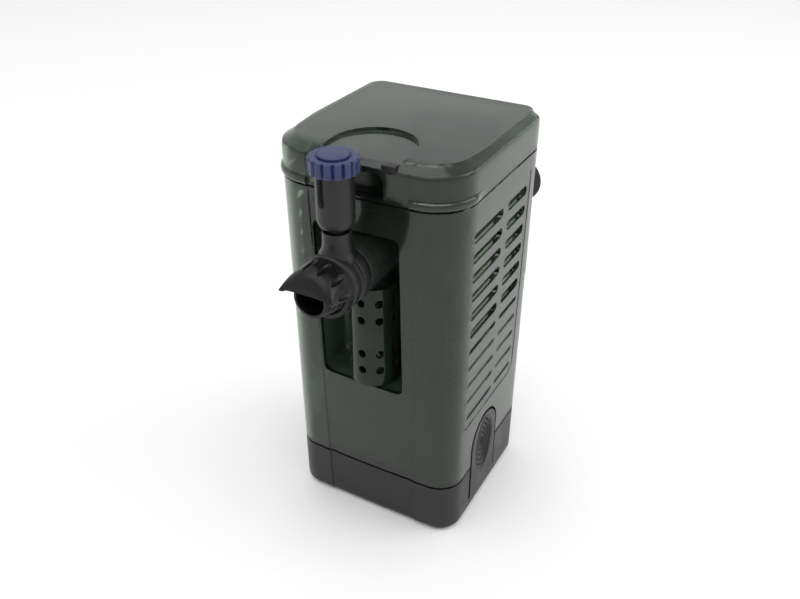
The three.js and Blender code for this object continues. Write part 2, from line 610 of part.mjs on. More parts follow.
// ---- Filter media --------------------------------------------------------------------------------------------
function mediaBasket() {
  const { half, front, back, low, high, wall } = BASKET;
  const middle = (front + back) / 2;
  const depth = (back - front) / 2;
  const outer = prism(roundedRectangle(half, depth, 5, 0, middle), "z", low + 1, high, 4);
  const inner = prism(roundedRectangle(half - wall, depth - wall, 4, 0, middle), "z", low + 1 + wall, high + 1, 4);
  const bars = [];
  for (let i = -3; i <= 3; i++)
    bars.push(block([i * 10 - 3, front + 6, low - 1], [i * 10 + 3, back - 6, low + 4]));
  const sideWindows = [];
  for (const z of [118, 142, 166])
    for (const y of [-10, 8, 26])
      sideWindows.push(block([-60, y - 6, z], [60, y + 6, z + 16]));
  return cut(outer, inner, ...bars, ...sideWindows);
}

function basketHandle() {
  const path = new THREE.CatmullRomCurve3([
    vec(-34.6, 8, 193), vec(-34.6, 8, 203), vec(-27, 8, 209.5), vec(0, 8, 211),
    vec(27, 8, 209.5), vec(34.6, 8, 203), vec(34.6, 8, 193),
  ]);
  const section = roundedRectangle(3.4, 1.2, 0.8);
  return solid(new THREE.ExtrudeGeometry(section, { steps: 18, extrudePath: path, curveSegments: 1 }));
}

const trayLow = BASKET.low + 1 + BASKET.wall;
function mediaBox(low, high) {
  const inset = BASKET.wall + 0.5;
  const halfDepth = (BASKET.back - BASKET.front) / 2 - inset;
  const shape = roundedRectangle(BASKET.half - inset, halfDepth, 4, 0, (BASKET.back + BASKET.front) / 2);
  return prism(shape, "z", low, high, 3);
}

add("media_basket", mediaBasket(), "grey");
add("basket_handle", basketHandle(), "black");
add("carbon_cartridge", mediaBox(trayLow + 0.4, 134), "foam");
add("bio_media_tray", mediaBox(134.6, 172), "media");
add("fine_filter_pad", mediaBox(172.6, 190), "foam");
add("foam_pad_right", block([40.5, -31, 79], [50.4, 40, 204]), "foam");
add("foam_pad_left", block([-50.4, -31, 79], [-40.5, 40, 204]), "foam");

// ---- Bracket and suction cups --------------------------------------------------------------------------------
function bracket() {
  const [near, far] = BRACKET.plate;
  const middle = (BRACKET.low + BRACKET.high) / 2;
  const tall = (BRACKET.high - BRACKET.low) / 2;
  const plate = prism(roundedRectangle(BRACKET.half, tall, 9, 0, middle), "y", near, far, 4);
  const opening = prism(roundedRectangle(13, tall - 14, 5, 0, middle), "y", near - 5, far + 5, 4);
  const guides = [];
  for (const side of [1, -1]) {
    const x = side * RAIL.x;
    for (const edge of [1, -1]) {
      const arm = block([x + edge * 7 - 1.4, 52.4, RAIL.low + 2], [x + edge * 7 + 1.4, near + 0.5, BRACKET.high - 6]);
      const lip = block([x + edge * 5.4 - 2.6, 52.4, RAIL.low + 2], [x + edge * 5.4 + 2.6, 53.6, BRACKET.high - 6]);
      guides.push(arm, lip);
    }
  }
  const holes = cupPlaces().map(([x, z]) => rod("y", 3.6, near - 1, far + 1, [x, z], 20));
  return cut(join(plate, ...guides), opening, ...holes);
}

const cupPlaces = () => [[-CUP.x, CUP.high], [CUP.x, CUP.high], [-CUP.lowX, CUP.low], [CUP.lowX, CUP.low]];

// A suction cup: a button and neck that snap through the bracket, and a flared cup with a flat sealing rim.
function suctionCup(x, z) {
  const { face, radius } = CUP;
  const [near, far] = BRACKET.plate;
  const profile = [
    [0, near - 1.6], [4.4, near - 1.6], [4.6, near - GAP], [3.2, near - GAP], [3.2, far + GAP], [6, far + GAP],
    [6, far + 2.4], [8, 65], [radius - 0.4, face - 1.6], [radius, face], [radius - 3, face], [7, face - 2.2], [0, face - 2.6],
  ];
  return turnedAlongY(profile, x, z);
}

add("bracket", bracket(), "black");
cupPlaces().forEach(([x, z], i) => add(`suction_cup_${i + 1}`, suctionCup(x, z), "rubber"));

export default filter;
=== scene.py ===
# %% [markdown]
# # An internal aquarium filter, dressed for a studio picture
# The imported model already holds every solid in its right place. This lesson replaces the solids that are seen
# with finely made surfaces, and gives the rest of them a finish. Everything is in millimetres here, and is
# turned to metres when a mesh is made. The outlet faces -Y, and the floor is z = 0.
# %% Load the frame
import math

import bmesh
import bpy
import numpy as np
from mathutils.geometry import delaunay_2d_cdt
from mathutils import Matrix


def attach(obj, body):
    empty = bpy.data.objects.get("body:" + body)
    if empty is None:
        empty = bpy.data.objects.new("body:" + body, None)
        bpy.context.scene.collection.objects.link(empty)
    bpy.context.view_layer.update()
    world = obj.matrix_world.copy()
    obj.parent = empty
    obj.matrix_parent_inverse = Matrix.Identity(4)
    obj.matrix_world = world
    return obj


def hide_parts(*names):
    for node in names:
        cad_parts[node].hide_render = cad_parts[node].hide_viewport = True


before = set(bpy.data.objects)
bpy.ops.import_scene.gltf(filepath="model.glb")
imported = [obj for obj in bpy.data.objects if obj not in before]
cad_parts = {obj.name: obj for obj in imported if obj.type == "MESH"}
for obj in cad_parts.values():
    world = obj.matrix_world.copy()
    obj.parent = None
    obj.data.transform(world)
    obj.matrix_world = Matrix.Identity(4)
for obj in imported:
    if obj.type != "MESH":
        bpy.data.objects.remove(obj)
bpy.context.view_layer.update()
MM = 0.001
scene = bpy.context.scene

# %% [markdown]
# ## Camera, floor and light
# A product shot has one camera, a seamless pale floor and large soft lights. An area light is soft because it is
# big, so the plastic shows wide, quiet reflections. The world is almost white, because glossy dark plastic looks
# like whatever stands round it.
# %% Camera
camera = bpy.data.objects.new("camera", bpy.data.cameras.new("camera"))
scene.collection.objects.link(camera)
camera.location = (0.20213, -0.37984, 0.39578)
camera.rotation_euler = (math.radians(58.09), 0.0, math.radians(28.84))
camera.data.sensor_width = 36.0
camera.data.lens = 38.1
camera.data.clip_start = 0.01
scene.camera = camera
scene.view_settings.view_transform = "Standard"


# %% [markdown]
# ## Helpers for finishes
# Colours are written as the sRGB hex values that a maker would pick from a swatch, and Blender wants linear light,
# so one function turns them. Another adds a node, sets its values and joins its inputs.
# %% Colours and nodes
def linear(swatch):
    """An sRGB hex colour as linear RGBA: each channel through the sRGB curve."""
    channels = [int(swatch[i : i + 2], 16) / 255 for i in (1, 3, 5)]
    return [c / 12.92 if c <= 0.04045 else ((c + 0.055) / 1.055) ** 2.4 for c in channels] + [1.0]


def add_node(tree, kind, **settings):
    """Adds a node. A setting is a property, or an input's name with _ for a space; a socket makes a link."""
    made = tree.nodes.new(kind)
    for key, value in settings.items():
        name = key.replace("_", " ")
        socket = next((s for s in made.inputs if s.name == name and s.enabled), None)
        if isinstance(value, bpy.types.NodeSocket):
            tree.links.new(value, socket)
        elif socket is not None and not hasattr(made, key):
            socket.default_value = value
        else:
            setattr(made, key, value)
    return made


def finish(name, swatch, **values):
    """A material with one Principled surface: its tree, its surface node and its object-space coordinates."""
    made = bpy.data.materials.new(name)
    made.use_nodes = True
    tree = made.node_tree
    surface = next(n for n in tree.nodes if n.type == "BSDF_PRINCIPLED")
    surface.inputs["Base Color"].default_value = linear(swatch)
    for key, value in values.items():
        surface.inputs[key.replace("_", " ")].default_value = value
    place = add_node(tree, "ShaderNodeTexCoord").outputs["Object"]
    return made, tree, surface, place


def mottle(tree, surface, place, period, low, high, swatches=None):
    """Noise with a period in millimetres drives the roughness from low to high, and the colour between swatches."""
    noise = add_node(tree, "ShaderNodeTexNoise", Vector=place, Scale=1 / (period * MM), Detail=4.0)
    spread = add_node(tree, "ShaderNodeMapRange", Value=noise.outputs[0])
    for key, value in (("From Min", 0.3), ("From Max", 0.7), ("To Min", low), ("To Max", high)):
        spread.inputs[key].default_value = value
    tree.links.new(spread.outputs["Result"], surface.inputs["Roughness"])
    if swatches:
        blend = add_node(tree, "ShaderNodeValToRGB", Fac=noise.outputs[0])
        for stop, position, swatch in zip(blend.color_ramp.elements, (0.35, 0.65), swatches):
            stop.position = position
            stop.color = linear(swatch)
        tree.links.new(blend.outputs["Color"], surface.inputs["Base Color"])


def grain(tree, surface, place, period, depth, kind="ShaderNodeTexNoise", **settings):
    """Bumps with a period and a depth in millimetres, from noise or from cells."""
    pattern = add_node(tree, kind, Vector=place, Scale=1 / (period * MM), **settings)
    bump = add_node(tree, "ShaderNodeBump", Height=pattern.outputs[0], Distance=depth * MM, Strength=1.0)
    tree.links.new(bump.outputs["Normal"], surface.inputs["Normal"])


# %% [markdown]
# ## Finishes
# The casing is smoked SAN, an injection-moulded clear plastic with a grey-green dye: it is glossy, and the dark
# works show faintly through it. The base and tee are black ABS with a fine spark-eroded texture, which spreads
# the highlights; the nozzle comes out of a smoother tool. The air knob is blue ABS. Patterns are sized in millimetres; the ones finer than
# 0.3 mm are drawn a little coarser than real, so that they show.
# %% Clear and smoked plastics
smoked_san, tree, surface, place = finish(
    "smoked_san_moulded", "#6b786a", Transmission_Weight=0.95, IOR=1.47, Specular_IOR_Level=0.32
)
mottle(tree, surface, place, 30.0, 0.08, 0.13, ("#657263", "#717e70"))
grain(tree, surface, place, 9.0, 0.02, Detail=2.0)

deep_san, tree, surface, place = finish(
    "smoked_san_thick", "#202b21", Transmission_Weight=0.3, IOR=1.47, Specular_IOR_Level=0.2
)
mottle(tree, surface, place, 12.0, 0.10, 0.18, ("#1d271e", "#243025"))

inner_san, tree, surface, place = finish("smoked_san_inner", "#58685a", Transmission_Weight=0.6, IOR=1.47)
mottle(tree, surface, place, 16.0, 0.12, 0.20, ("#536355", "#5e6e60"))
grain(tree, surface, place, 6.0, 0.02, Detail=2.0)

# painted shade: a near-black copy of the smoked SAN, for the finger pocket only, stands for the shade under the
# lid's lip
pocket_shade_san, tree, surface, place = finish(
    "smoked_san_painted_pocket_shade", "#161d16", Transmission_Weight=0.3, IOR=1.47, Specular_IOR_Level=0.2
)
mottle(tree, surface, place, 12.0, 0.16, 0.26, ("#131a13", "#1a221a"))

clear_san, tree, surface, place = finish(
    "tinted_san_moulded", "#87948a", Transmission_Weight=0.94, IOR=1.5, Specular_IOR_Level=0.5
)
mottle(tree, surface, place, 18.0, 0.06, 0.12, ("#828f84", "#8d9a90"))
grain(tree, surface, place, 6.0, 0.02, Detail=2.0)

# %% Solid plastics and rubber
black_abs, tree, surface, place = finish("black_abs_spark_eroded", "#141415", IOR=1.5, Specular_IOR_Level=0.4)
mottle(tree, surface, place, 14.0, 0.34, 0.46, ("#121213", "#19191a"))
grain(tree, surface, place, 0.6, 0.02, Detail=3.0)

smooth_abs, tree, surface, place = finish("black_abs_polished_tool", "#0c0c0d", IOR=1.5, Specular_IOR_Level=0.28)
mottle(tree, surface, place, 14.0, 0.26, 0.38, ("#0b0b0c", "#101011"))
grain(tree, surface, place, 0.6, 0.01, Detail=3.0)

blue_abs, tree, surface, place = finish("blue_abs_moulded", "#1f2654", IOR=1.53)
mottle(tree, surface, place, 6.0, 0.34, 0.48, ("#1d234e", "#232b5b"))
grain(tree, surface, place, 0.6, 0.015, Detail=3.0)

grey_pp, tree, surface, place = finish("grey_polypropylene_moulded", "#46494a", IOR=1.49)
mottle(tree, surface, place, 12.0, 0.42, 0.6, ("#404344", "#4c4f50"))
grain(tree, surface, place, 0.8, 0.02, Detail=3.0)

rubber, tree, surface, place = finish("black_rubber_moulded", "#161616", IOR=1.52)
mottle(tree, surface, place, 5.0, 0.55, 0.8, ("#131313", "#1c1c1b"))
grain(tree, surface, place, 0.5, 0.03, Detail=4.0)

# %% Metals, ceramic and media
steel, tree, surface, place = finish("stainless_steel_turned", "#b9bcbf", Metallic=1.0)
mottle(tree, surface, place, 1.2, 0.22, 0.38)
grain(tree, surface, place, 0.3, 0.008, Detail=2.0)

laminations, tree, surface, place = finish("laminated_motor_steel", "#8d9093", Metallic=1.0)
mottle(tree, surface, place, 2.0, 0.35, 0.5)
grain(tree, surface, place, 1.6, 0.05, "ShaderNodeTexWave", bands_direction="Z")

copper, tree, surface, place = finish("enamelled_copper_winding", "#a4552b", Metallic=0.9)
mottle(tree, surface, place, 2.0, 0.25, 0.4, ("#8f4520", "#b86636"))
grain(tree, surface, place, 1.4, 0.12, "ShaderNodeTexWave", bands_direction="Z")

ceramic, tree, surface, place = finish("ground_ceramic", "#e6e2da", IOR=1.6)
mottle(tree, surface, place, 2.0, 0.2, 0.32, ("#ddd8ce", "#eeebe4"))

sponge, tree, surface, place = finish("open_cell_foam", "#24262a", Sheen_Weight=0.3, IOR=1.45)
grain(tree, surface, place, 2.4, 0.9, "ShaderNodeTexVoronoi")
mottle(tree, surface, place, 3.0, 0.85, 1.0, ("#1a1c1f", "#33363b"))

carbon, tree, surface, place = finish("activated_carbon_granules", "#17181a", IOR=1.5)
grain(tree, surface, place, 3.2, 1.2, "ShaderNodeTexVoronoi")
mottle(tree, surface, place, 2.2, 0.5, 0.9, ("#101112", "#2a2b2d"))

floss, tree, surface, place = finish("polyester_floss", "#4d524c", Sheen_Weight=0.4, IOR=1.45)
grain(tree, surface, place, 1.1, 0.4, Detail=6.0)
mottle(tree, surface, place, 4.0, 0.85, 1.0, ("#454a44", "#565b55"))

sintered, tree, surface, place = finish("sintered_ceramic_rings", "#655e50", IOR=1.5)
grain(tree, surface, place, 0.9, 0.15, Detail=5.0)
mottle(tree, surface, place, 5.0, 0.75, 0.95, ("#5a5447", "#716a5b"))
print("finishes:", len(bpy.data.materials))

# %% Floor, world and lights
floor_paper, tree, surface, place = finish("matt_white_paper", "#fafaf9", Roughness=0.9)
mottle(tree, surface, place, 60.0, 0.85, 0.95)


def light_up(name, power, size, at, aim):
    """An area light of a size in metres at one point, facing another."""
    lamp = bpy.data.lights.new(name, "AREA")
    lamp.shape = "RECTANGLE"
    lamp.size, lamp.size_y = size
    lamp.energy = power
    made = bpy.data.objects.new(name, lamp)
    scene.collection.objects.link(made)
    made.location = at
    towards = np.array(aim) - np.array(at)
    level = math.hypot(towards[0], towards[1])
    turn = math.atan2(towards[1], towards[0]) - math.pi / 2
    made.rotation_euler = (math.pi / 2 + math.atan2(towards[2], level), 0.0, turn)


world = bpy.data.worlds.new("white_studio")
world.use_nodes = True
backdrop = next(n for n in world.node_tree.nodes if n.type == "BACKGROUND")
backdrop.inputs["Color"].default_value = linear("#fbfcfc")
backdrop.inputs["Strength"].default_value = 0.85
scene.world = world
light_up("softbox_right", 5.0, (0.9, 0.9), (1.1, 0.5, 0.9), (0.0, 0.0, 0.1))
light_up("softbox_top", 10.0, (1.6, 1.6), (-0.1, -0.3, 1.7), (0.0, 0.0, 0.1))


# %% [markdown]
# ## Helpers for shapes
# A surface is a grid of points, worked out in one go with numpy from two parameters. `grid` joins each point to
# its neighbours with four-sided faces. `sheet` is for a wall with holes: it fills a flat area round the holes with
# triangles, and the flat area is then carried on to the curved wall, point by point. `build` makes one mesh of
# several surfaces, and `settle` gives it a wall and soft edges, and hands it to the frame.
# %% Grids
def grid(points, wrap_rows=False, wrap_columns=False):
    """Points of shape (rows, columns, 3) and the squares between neighbours, as (points, faces)."""
    rows, columns = points.shape[:2]
    i = np.arange(rows if wrap_rows else rows - 1)[:, None]
    j = np.arange(columns if wrap_columns else columns - 1)[None, :]
    below = (i + 1) % rows * columns
    right = (j + 1) % columns
    corners = [i * columns + j, i * columns + right, below + right, below + j]
    return points.reshape(-1, 3), np.stack(corners, -1).reshape(-1, 4)


def turned(profile, centre, axis="z", sides=72, growth=None):
    """A profile of (radius, height) pairs turned about an axis through centre: x, y = radius * (cos a, sin a)."""
    radius, height = np.array(profile, float).T
    angle = np.linspace(0, 2 * np.pi, sides, endpoint=False)
    reach = radius[:, None] * (1 if growth is None else growth(angle, height[:, None]))
    across, along = reach * np.cos(angle), reach * np.sin(angle)
    level = np.broadcast_to(height[:, None], across.shape)
    place = {"z": (across, along, level), "y": (across, level, along), "x": (level, across, along)}[axis]
    return grid(np.stack(place, -1) + np.array(centre, float), wrap_columns=True)


def rounded(corners, radius, steps=4):
    """A profile with its inner corners rounded: a quadratic curve from one side to the next at each corner."""
    corners = np.array(corners, float)
    before, here, after = corners[:-2], corners[1:-1], corners[2:]
    back, ahead = before - here, after - here
    reach_back = np.linalg.norm(back, axis=1)[:, None] + 1e-9
    reach_ahead = np.linalg.norm(ahead, axis=1)[:, None] + 1e-9
    size = np.minimum(radius, np.minimum(reach_back, reach_ahead) * 0.45)
    start = (here + back / reach_back * size)[:, None]
    end = (here + ahead / reach_ahead * size)[:, None]
    t = np.linspace(0, 1, steps + 1)[None, :, None]
    curve = (1 - t) ** 2 * start + 2 * t * (1 - t) * here[:, None] + t**2 * end
    return np.vstack([corners[:1], curve.reshape(-1, 2), corners[-1:]])


def soft_block(low, high, power=7.0, rows=40, columns=80):
    """A rounded block: a direction d on a sphere is stretched to length 1 / (|dx|^p + |dy|^p + |dz|^p)^(1/p)."""
    tilt = np.linspace(0, np.pi, rows)[:, None]
    turn = np.linspace(0, 2 * np.pi, columns, endpoint=False)[None, :]
    d = np.stack(np.broadcast_arrays(np.sin(tilt) * np.cos(turn), np.sin(tilt) * np.sin(turn), np.cos(tilt)), -1)
    low, high = np.array(low, float), np.array(high, float)
    d = d / (np.abs(d) ** power).sum(-1, keepdims=True) ** (1 / power)
    return grid((low + high) / 2 + d * (high - low) / 2, wrap_columns=True)


def box(low, high):
    """A plain block from one corner to the other: a square ring at each end, closed by a point."""
    u = np.array([[0, 0], [1, 0], [1, 1], [0, 1]])
    rows = np.stack([np.c_[0.5 + (u - 0.5) * k, np.full(4, z)] for z, k in ((0, 0), (0, 1), (1, 1), (1, 0))])
    return grid(np.array(low) + rows * (np.array(high, float) - np.array(low)), wrap_columns=True)


# %% Sheets with holes
def inside(points, loop):
    """Which points lie inside a closed loop: a ray towards -x crosses it an odd number of times."""
    x, y = points[:, :1], points[:, 1:]
    x0, y0 = loop.T
    x1, y1 = np.roll(loop, -1, 0).T
    crosses = (y0 > y) != (y1 > y)
    at = x0 + (y - y0) * (x1 - x0) / np.where(y1 == y0, 1e-9, y1 - y0)
    return (crosses & (x < at)).sum(1) % 2 == 1


def sheet(border, points, holes=(), lines=(), clear=0.8):
    """Triangles that fill a border round its holes, through free points and along lines, in the flat plane."""
    loops = [border, *holes]
    fixed = np.vstack([*loops, *lines])
    edges, first = [], 0
    for k, run in enumerate([*loops, *lines]):
        numbers = np.arange(first, first + len(run))
        closed = np.roll(numbers, -1)
        edges += list(zip(numbers.tolist(), closed.tolist()))[: None if k < len(loops) else -1]
        first += len(run)
    near = np.full(len(points), np.inf)
    for run in [*loops, *lines]:
        gap = np.linalg.norm(points[:, None] - run[None], axis=-1).min(1)
        near = np.minimum(near, gap)
    flat = np.vstack([fixed, points[near > clear]])
    made = delaunay_2d_cdt([tuple(p) for p in flat.tolist()], edges, [], 0, 1e-4)
    verts = np.array([tuple(p) for p in made[0]])
    faces = np.array([f for f in made[2] if len(f) == 3])
    middle = verts[faces].mean(1)
    keep = inside(middle, border)
    for hole in holes:
        keep &= ~inside(middle, hole)
    return verts, faces[keep]


def capsule(start, end, z, radius, steps=7):
    """A slot's outline: two half circles of a radius about (start, z) and (end, z), joined by straight sides."""
    turn = np.linspace(-np.pi / 2, np.pi / 2, steps)
    length = max(2, int((end - start) / 6))
    side = np.linspace(start, end, length + 1)[1:-1]
    right = np.c_[end + radius * np.cos(turn), z + radius * np.sin(turn)]
    left = np.c_[start - radius * np.cos(turn), z - radius * np.sin(turn)]
    top = np.c_[side[::-1], np.full(len(side), z + radius)]
    bottom = np.c_[side, np.full(len(side), z - radius)]
    return np.vstack([right, top, left, bottom])


def lozenge(x0, x1, z0, z1, radius, step=5.0):
    """A rounded rectangle's outline: straight sides with points every step, and quarter circles at the corners."""
    turn = np.linspace(0, np.pi / 2, 6)
    near, far, low, high = x0 + radius, x1 - radius, z0 + radius, z1 - radius
    centres = [(far, low), (far, high), (near, high), (near, low)]
    loop = []
    for k, (cx, cz) in enumerate(centres):
        angle = turn + (k - 1) * np.pi / 2
        loop.append(np.c_[cx + radius * np.cos(angle), cz + radius * np.sin(angle)])
        after = np.array(centres[(k + 1) % 4]) + radius * np.array([math.cos(angle[-1]), math.sin(angle[-1])])
        count = max(2, int(np.linalg.norm(after - loop[-1][-1]) / step))
        t = np.linspace(0, 1, count + 1)[1:-1, None]
        loop.append(loop[-1][-1] * (1 - t) + after * t)
    return np.vstack(loop)


# %% Building and finishing
def build(name, *surfaces, outward=True):
    """One mesh of several (points, faces) surfaces, in metres, with doubles merged and faces turned outwards."""
    points, faces, count = [], [], 0
    for verts, corners in surfaces:
        points.append(np.asarray(verts, float).reshape(-1, 3))
        faces += (np.asarray(corners) + count).tolist()
        count += len(points[-1])
    mesh = bpy.data.meshes.new(name)
    mesh.from_pydata((np.vstack(points) * MM).tolist(), [], faces)
    work = bmesh.new()
    work.from_mesh(mesh)
    bmesh.ops.remove_doubles(work, verts=work.verts, dist=3e-6)
    bmesh.ops.dissolve_degenerate(work, edges=work.edges, dist=1e-7)
    if outward:
        bmesh.ops.recalc_face_normals(work, faces=work.faces)
    work.to_mesh(mesh)
    work.free()
    made = bpy.data.objects.new(name, mesh)
    scene.collection.objects.link(made)
    return made


def settle(piece, body, look, nodes=(), wall=0.0, bevel=0.0, steps=2, sharp=32):
    """Gives a piece its wall and soft edges, applies them, smooths it and hands it to the frame."""
    if wall:
        thick = piece.modifiers.new("wall", "SOLIDIFY")
        thick.thickness = wall * MM
        thick.offset = -1.0
        thick.use_even_offset = True
        thick.use_quality_normals = True
    if bevel:
        edge = piece.modifiers.new("edge", "BEVEL")
        edge.width = bevel * MM
        edge.segments = steps
        edge.limit_method = "ANGLE"
        edge.angle_limit = math.radians(sharp)
        edge.use_clamp_overlap = True
        weigh = piece.modifiers.new("shade", "WEIGHTED_NORMAL")
        weigh.keep_sharp = True
    piece.data.polygons.foreach_set("use_smooth", np.ones(len(piece.data.polygons), bool))
    if piece.modifiers:
        ready = piece.evaluated_get(bpy.context.evaluated_depsgraph_get())
        piece.data = bpy.data.meshes.new_from_object(ready)
        piece.modifiers.clear()
        piece.data.name = piece.name
    if not bevel:
        piece.data.set_sharp_from_angle(angle=math.radians(sharp))
    piece.data.materials.clear()
    piece.data.materials.append(look)
    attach(piece, body)
    if nodes:
        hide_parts(*nodes)
    print(piece.name, len(piece.data.polygons), "faces on", body)


# %% Floor
side = np.linspace(-3000, 3000, 2)
floor = build("floor", grid(np.stack([*np.meshgrid(side, side), np.zeros((2, 2))], -1)), outward=False)
floor.data.materials.append(floor_paper)

# %% [markdown]
# ## The casing's wall
# The casing is a tall box with a bowed front, wide front corners and small back corners, and it leans out a
# little with height. It could be lofted through rings, but slots and windows would then need cutting by booleans,
# which leave poor meshes. Here the wall is unrolled instead: q runs round the outline from the middle of the
# front, to the right when positive, and z runs up. Slots are drawn in that flat plane, and `casing` rolls it up.
# %% Outline of the casing
HEIGHT = 240.0
WALL = 2.6
FRONT_Q, CORNER_Q, SIDE_Q, BACK_CORNER_Q, BACK_Q = 36.0, 32.0, 68.0, 12.0, 47.0
SIDE_START = FRONT_Q + CORNER_Q
AROUND = FRONT_Q + CORNER_Q + SIDE_Q + BACK_CORNER_Q + BACK_Q


def outline(z, inset=0.0, back_inset=None, rounder=0.0):
    """The measures at a height: half width, front, back, bow, corner radii (the back's plus rounder), arc end."""
    back_inset = inset if back_inset is None else back_inset
    up = z / HEIGHT
    half = 54.5 + 0.6 * up - inset
    front = -(49.4 + 10.3 * up) + inset
    back = 49.4 + 2.8 * up - back_inset
    bow = 1.1 + 4.5 * up
    front_radius = 14 + 10 * up - inset
    back_radius = np.maximum(8 + rounder - back_inset, 1.0) + 0 * up
    corner_x = half - front_radius
    slope = np.arctan(2 * bow * corner_x / half**2)
    tangent_x = corner_x + front_radius * np.sin(slope)
    corner_y = front + bow * (tangent_x / half) ** 2 + front_radius * np.cos(slope)
    return half, front, back, bow, front_radius, back_radius, corner_x, slope, tangent_x, corner_y


def casing(q, z, inset=0.0, back_inset=None, rounder=0.0):
    """Rolls (q, z) up: an arc y = front + bow (x / half)^2, a corner circle, a side, a corner, the back."""
    half, front, back, bow, radius, back_radius, corner_x, slope, tangent_x, corner_y = outline(
        z, inset, back_inset, rounder
    )
    reach = np.abs(q)
    part = lambda start, length: np.clip((reach - start) / length, 0, 1)
    x1 = tangent_x * part(0, FRONT_Q)
    y1 = front + bow * (x1 / half) ** 2
    angle = (slope - np.pi / 2) * (1 - part(FRONT_Q, CORNER_Q))
    x2, y2 = corner_x + radius * np.cos(angle), corner_y + radius * np.sin(angle)
    y3 = corner_y + (back - back_radius - corner_y) * part(SIDE_START, SIDE_Q)
    turn = np.pi / 2 * part(SIDE_START + SIDE_Q, BACK_CORNER_Q)
    x4 = half - back_radius + back_radius * np.cos(turn)
    y4 = back - back_radius + back_radius * np.sin(turn)
    x5 = (half - back_radius) * (1 - part(AROUND - BACK_Q, BACK_Q))
    ends = [FRONT_Q, SIDE_START, SIDE_START + SIDE_Q, AROUND - BACK_Q]
    steps = [reach <= end for end in ends]
    x = np.select(steps, [x1, x2, half + 0 * q, x4], x5)
    y = np.select(steps, [y1, y2, y3, y4], back + 0 * q)
    return np.stack([np.sign(q) * x, y, z + 0 * q], -1)


def q_front(x, z, inset=0.0):
    """q where the front is x from the middle."""
    return FRONT_Q * x / outline(z, inset)[8]


def q_side(y, z):
    """q where the right side is at y."""
    _, _, back, _, _, back_radius, _, _, _, corner_y = outline(z)
    return SIDE_START + SIDE_Q * (y - corner_y) / (back - back_radius - corner_y)


def ramp(value, low, high):
    """0 below low, 1 above high, and a smooth rise 3t^2 - 2t^3 between."""
    t = np.clip((value - low) / (high - low), 0, 1)
    return t * t * (3 - 2 * t)


right = np.r_[
    np.linspace(0, FRONT_Q, 11)[:-1],
    np.linspace(FRONT_Q, SIDE_START, 17)[:-1],
    np.linspace(SIDE_START, SIDE_START + SIDE_Q, 15)[:-1],
    np.linspace(SIDE_START + SIDE_Q, AROUND - BACK_Q, 8)[:-1],
    np.linspace(AROUND - BACK_Q, AROUND, 8),
]
COLUMNS = np.r_[-right[:0:-1], right]


def wall_border(low, high, rows):
    """The unrolled wall's border, with a point at each column and row."""
    bottom = np.c_[COLUMNS, np.full(len(COLUMNS), low)]
    top = np.c_[COLUMNS[::-1], np.full(len(COLUMNS), high)]
    up = np.c_[np.full(len(rows), AROUND), rows]
    down = np.c_[np.full(len(rows), -AROUND), rows[::-1]]
    return np.vstack([bottom, up, top, down])


def wall_points(rows):
    """Free points at each column and row inside the border."""
    q, z = np.meshgrid(COLUMNS[1:-1], rows)
    return np.c_[q.ravel(), z.ravel()]


print("casing:", round(2 * AROUND), "mm round in q")

# %% [markdown]
# ## The canister and its niche
# The front has a shallow channel up its middle, with a window where the outlet column stands. Each side has two
# columns of intake slots. The upper slots are open, the seventh row is a thin one, and the last rows are only
# marked by grooves. A fine line frames them. Below, an arch is left free for the latch. The step of the channel
# and the grooves are part of the shape, so points lie along them on both sides.
# %% Canister: slots, window and arches in the flat plane
CANISTER_LOW, CANISTER_HIGH = 36.8, 217.6
CHANNEL = (29.0, 29.4)
CHANNEL_DEEP = 0.6
SLOT_TOP, SLOT_PITCH = 198.5, 11.65
LATCH_Y, LATCH_HALF, LATCH_SHOULDER = -4.6, 17.2, 48.0
LATCH_GAP = 1.7


def on_side(loop, sign):
    """A loop drawn in (y, z) on the right side, as (q, z), or mirrored to the left side."""
    return np.c_[sign * q_side(loop[:, 0], loop[:, 1]), loop[:, 1]]


def channel(points):
    """1 inside the front channel and 0 outside it, with a steep step between."""
    return ramp(-np.abs(points[:, 0]), -CHANNEL[1], -CHANNEL[0]) * (points[:, 1] < 0)


def slot_ends(z, column):
    """The two ends in y of a slot in one of the two columns, at a height."""
    return (4.2 + 0.015 * z, 27 + 0.034 * z) if column else (-31 - 0.029 * z, 1.0)


def arch(clearance, foot, steps=20):
    """The latch's outline in (y, z): straight sides and a half circle on top."""
    half = LATCH_HALF + clearance
    turn = np.linspace(0, np.pi, steps)
    top = np.c_[LATCH_Y + half * np.cos(turn), LATCH_SHOULDER + half * np.sin(turn)]
    up = np.linspace(foot, LATCH_SHOULDER, 7)[:-1]
    right_side = np.c_[np.full(6, LATCH_Y + half), up]
    left_side = np.c_[np.full(6, LATCH_Y - half), up[::-1]]
    return np.vstack([right_side, top, left_side])


holes, grooves, lines = [], [], []
z_line = np.linspace(CANISTER_LOW, CANISTER_HIGH, 40)
for sign in (1, -1):
    for edge in CHANNEL:
        lines.append(np.c_[q_front(sign * edge, z_line), z_line])
    holes.append(on_side(arch(LATCH_GAP, 30.0), sign))
    for column in (0, 1):
        for row in range(11):
            z = SLOT_TOP - SLOT_PITCH * row
            start, end = slot_ends(z, column)
            radius = 2.9 if row < 6 else 1.5
            if row < 7:
                holes.append(on_side(capsule(start + radius, end - radius, z, radius), sign))
                continue
            grooves.append((start + radius, end - radius, z, radius))
            for size in (radius, radius - 0.45):
                loop = on_side(capsule(start + radius, end - radius, z, size), sign)
                lines.append(np.vstack([loop, loop[:1]]))
window = lozenge(-28.4, 23.4, 100.0, 199.5, 4.0)
holes.append(np.c_[q_front(window[:, 0], window[:, 1]), window[:, 1]])

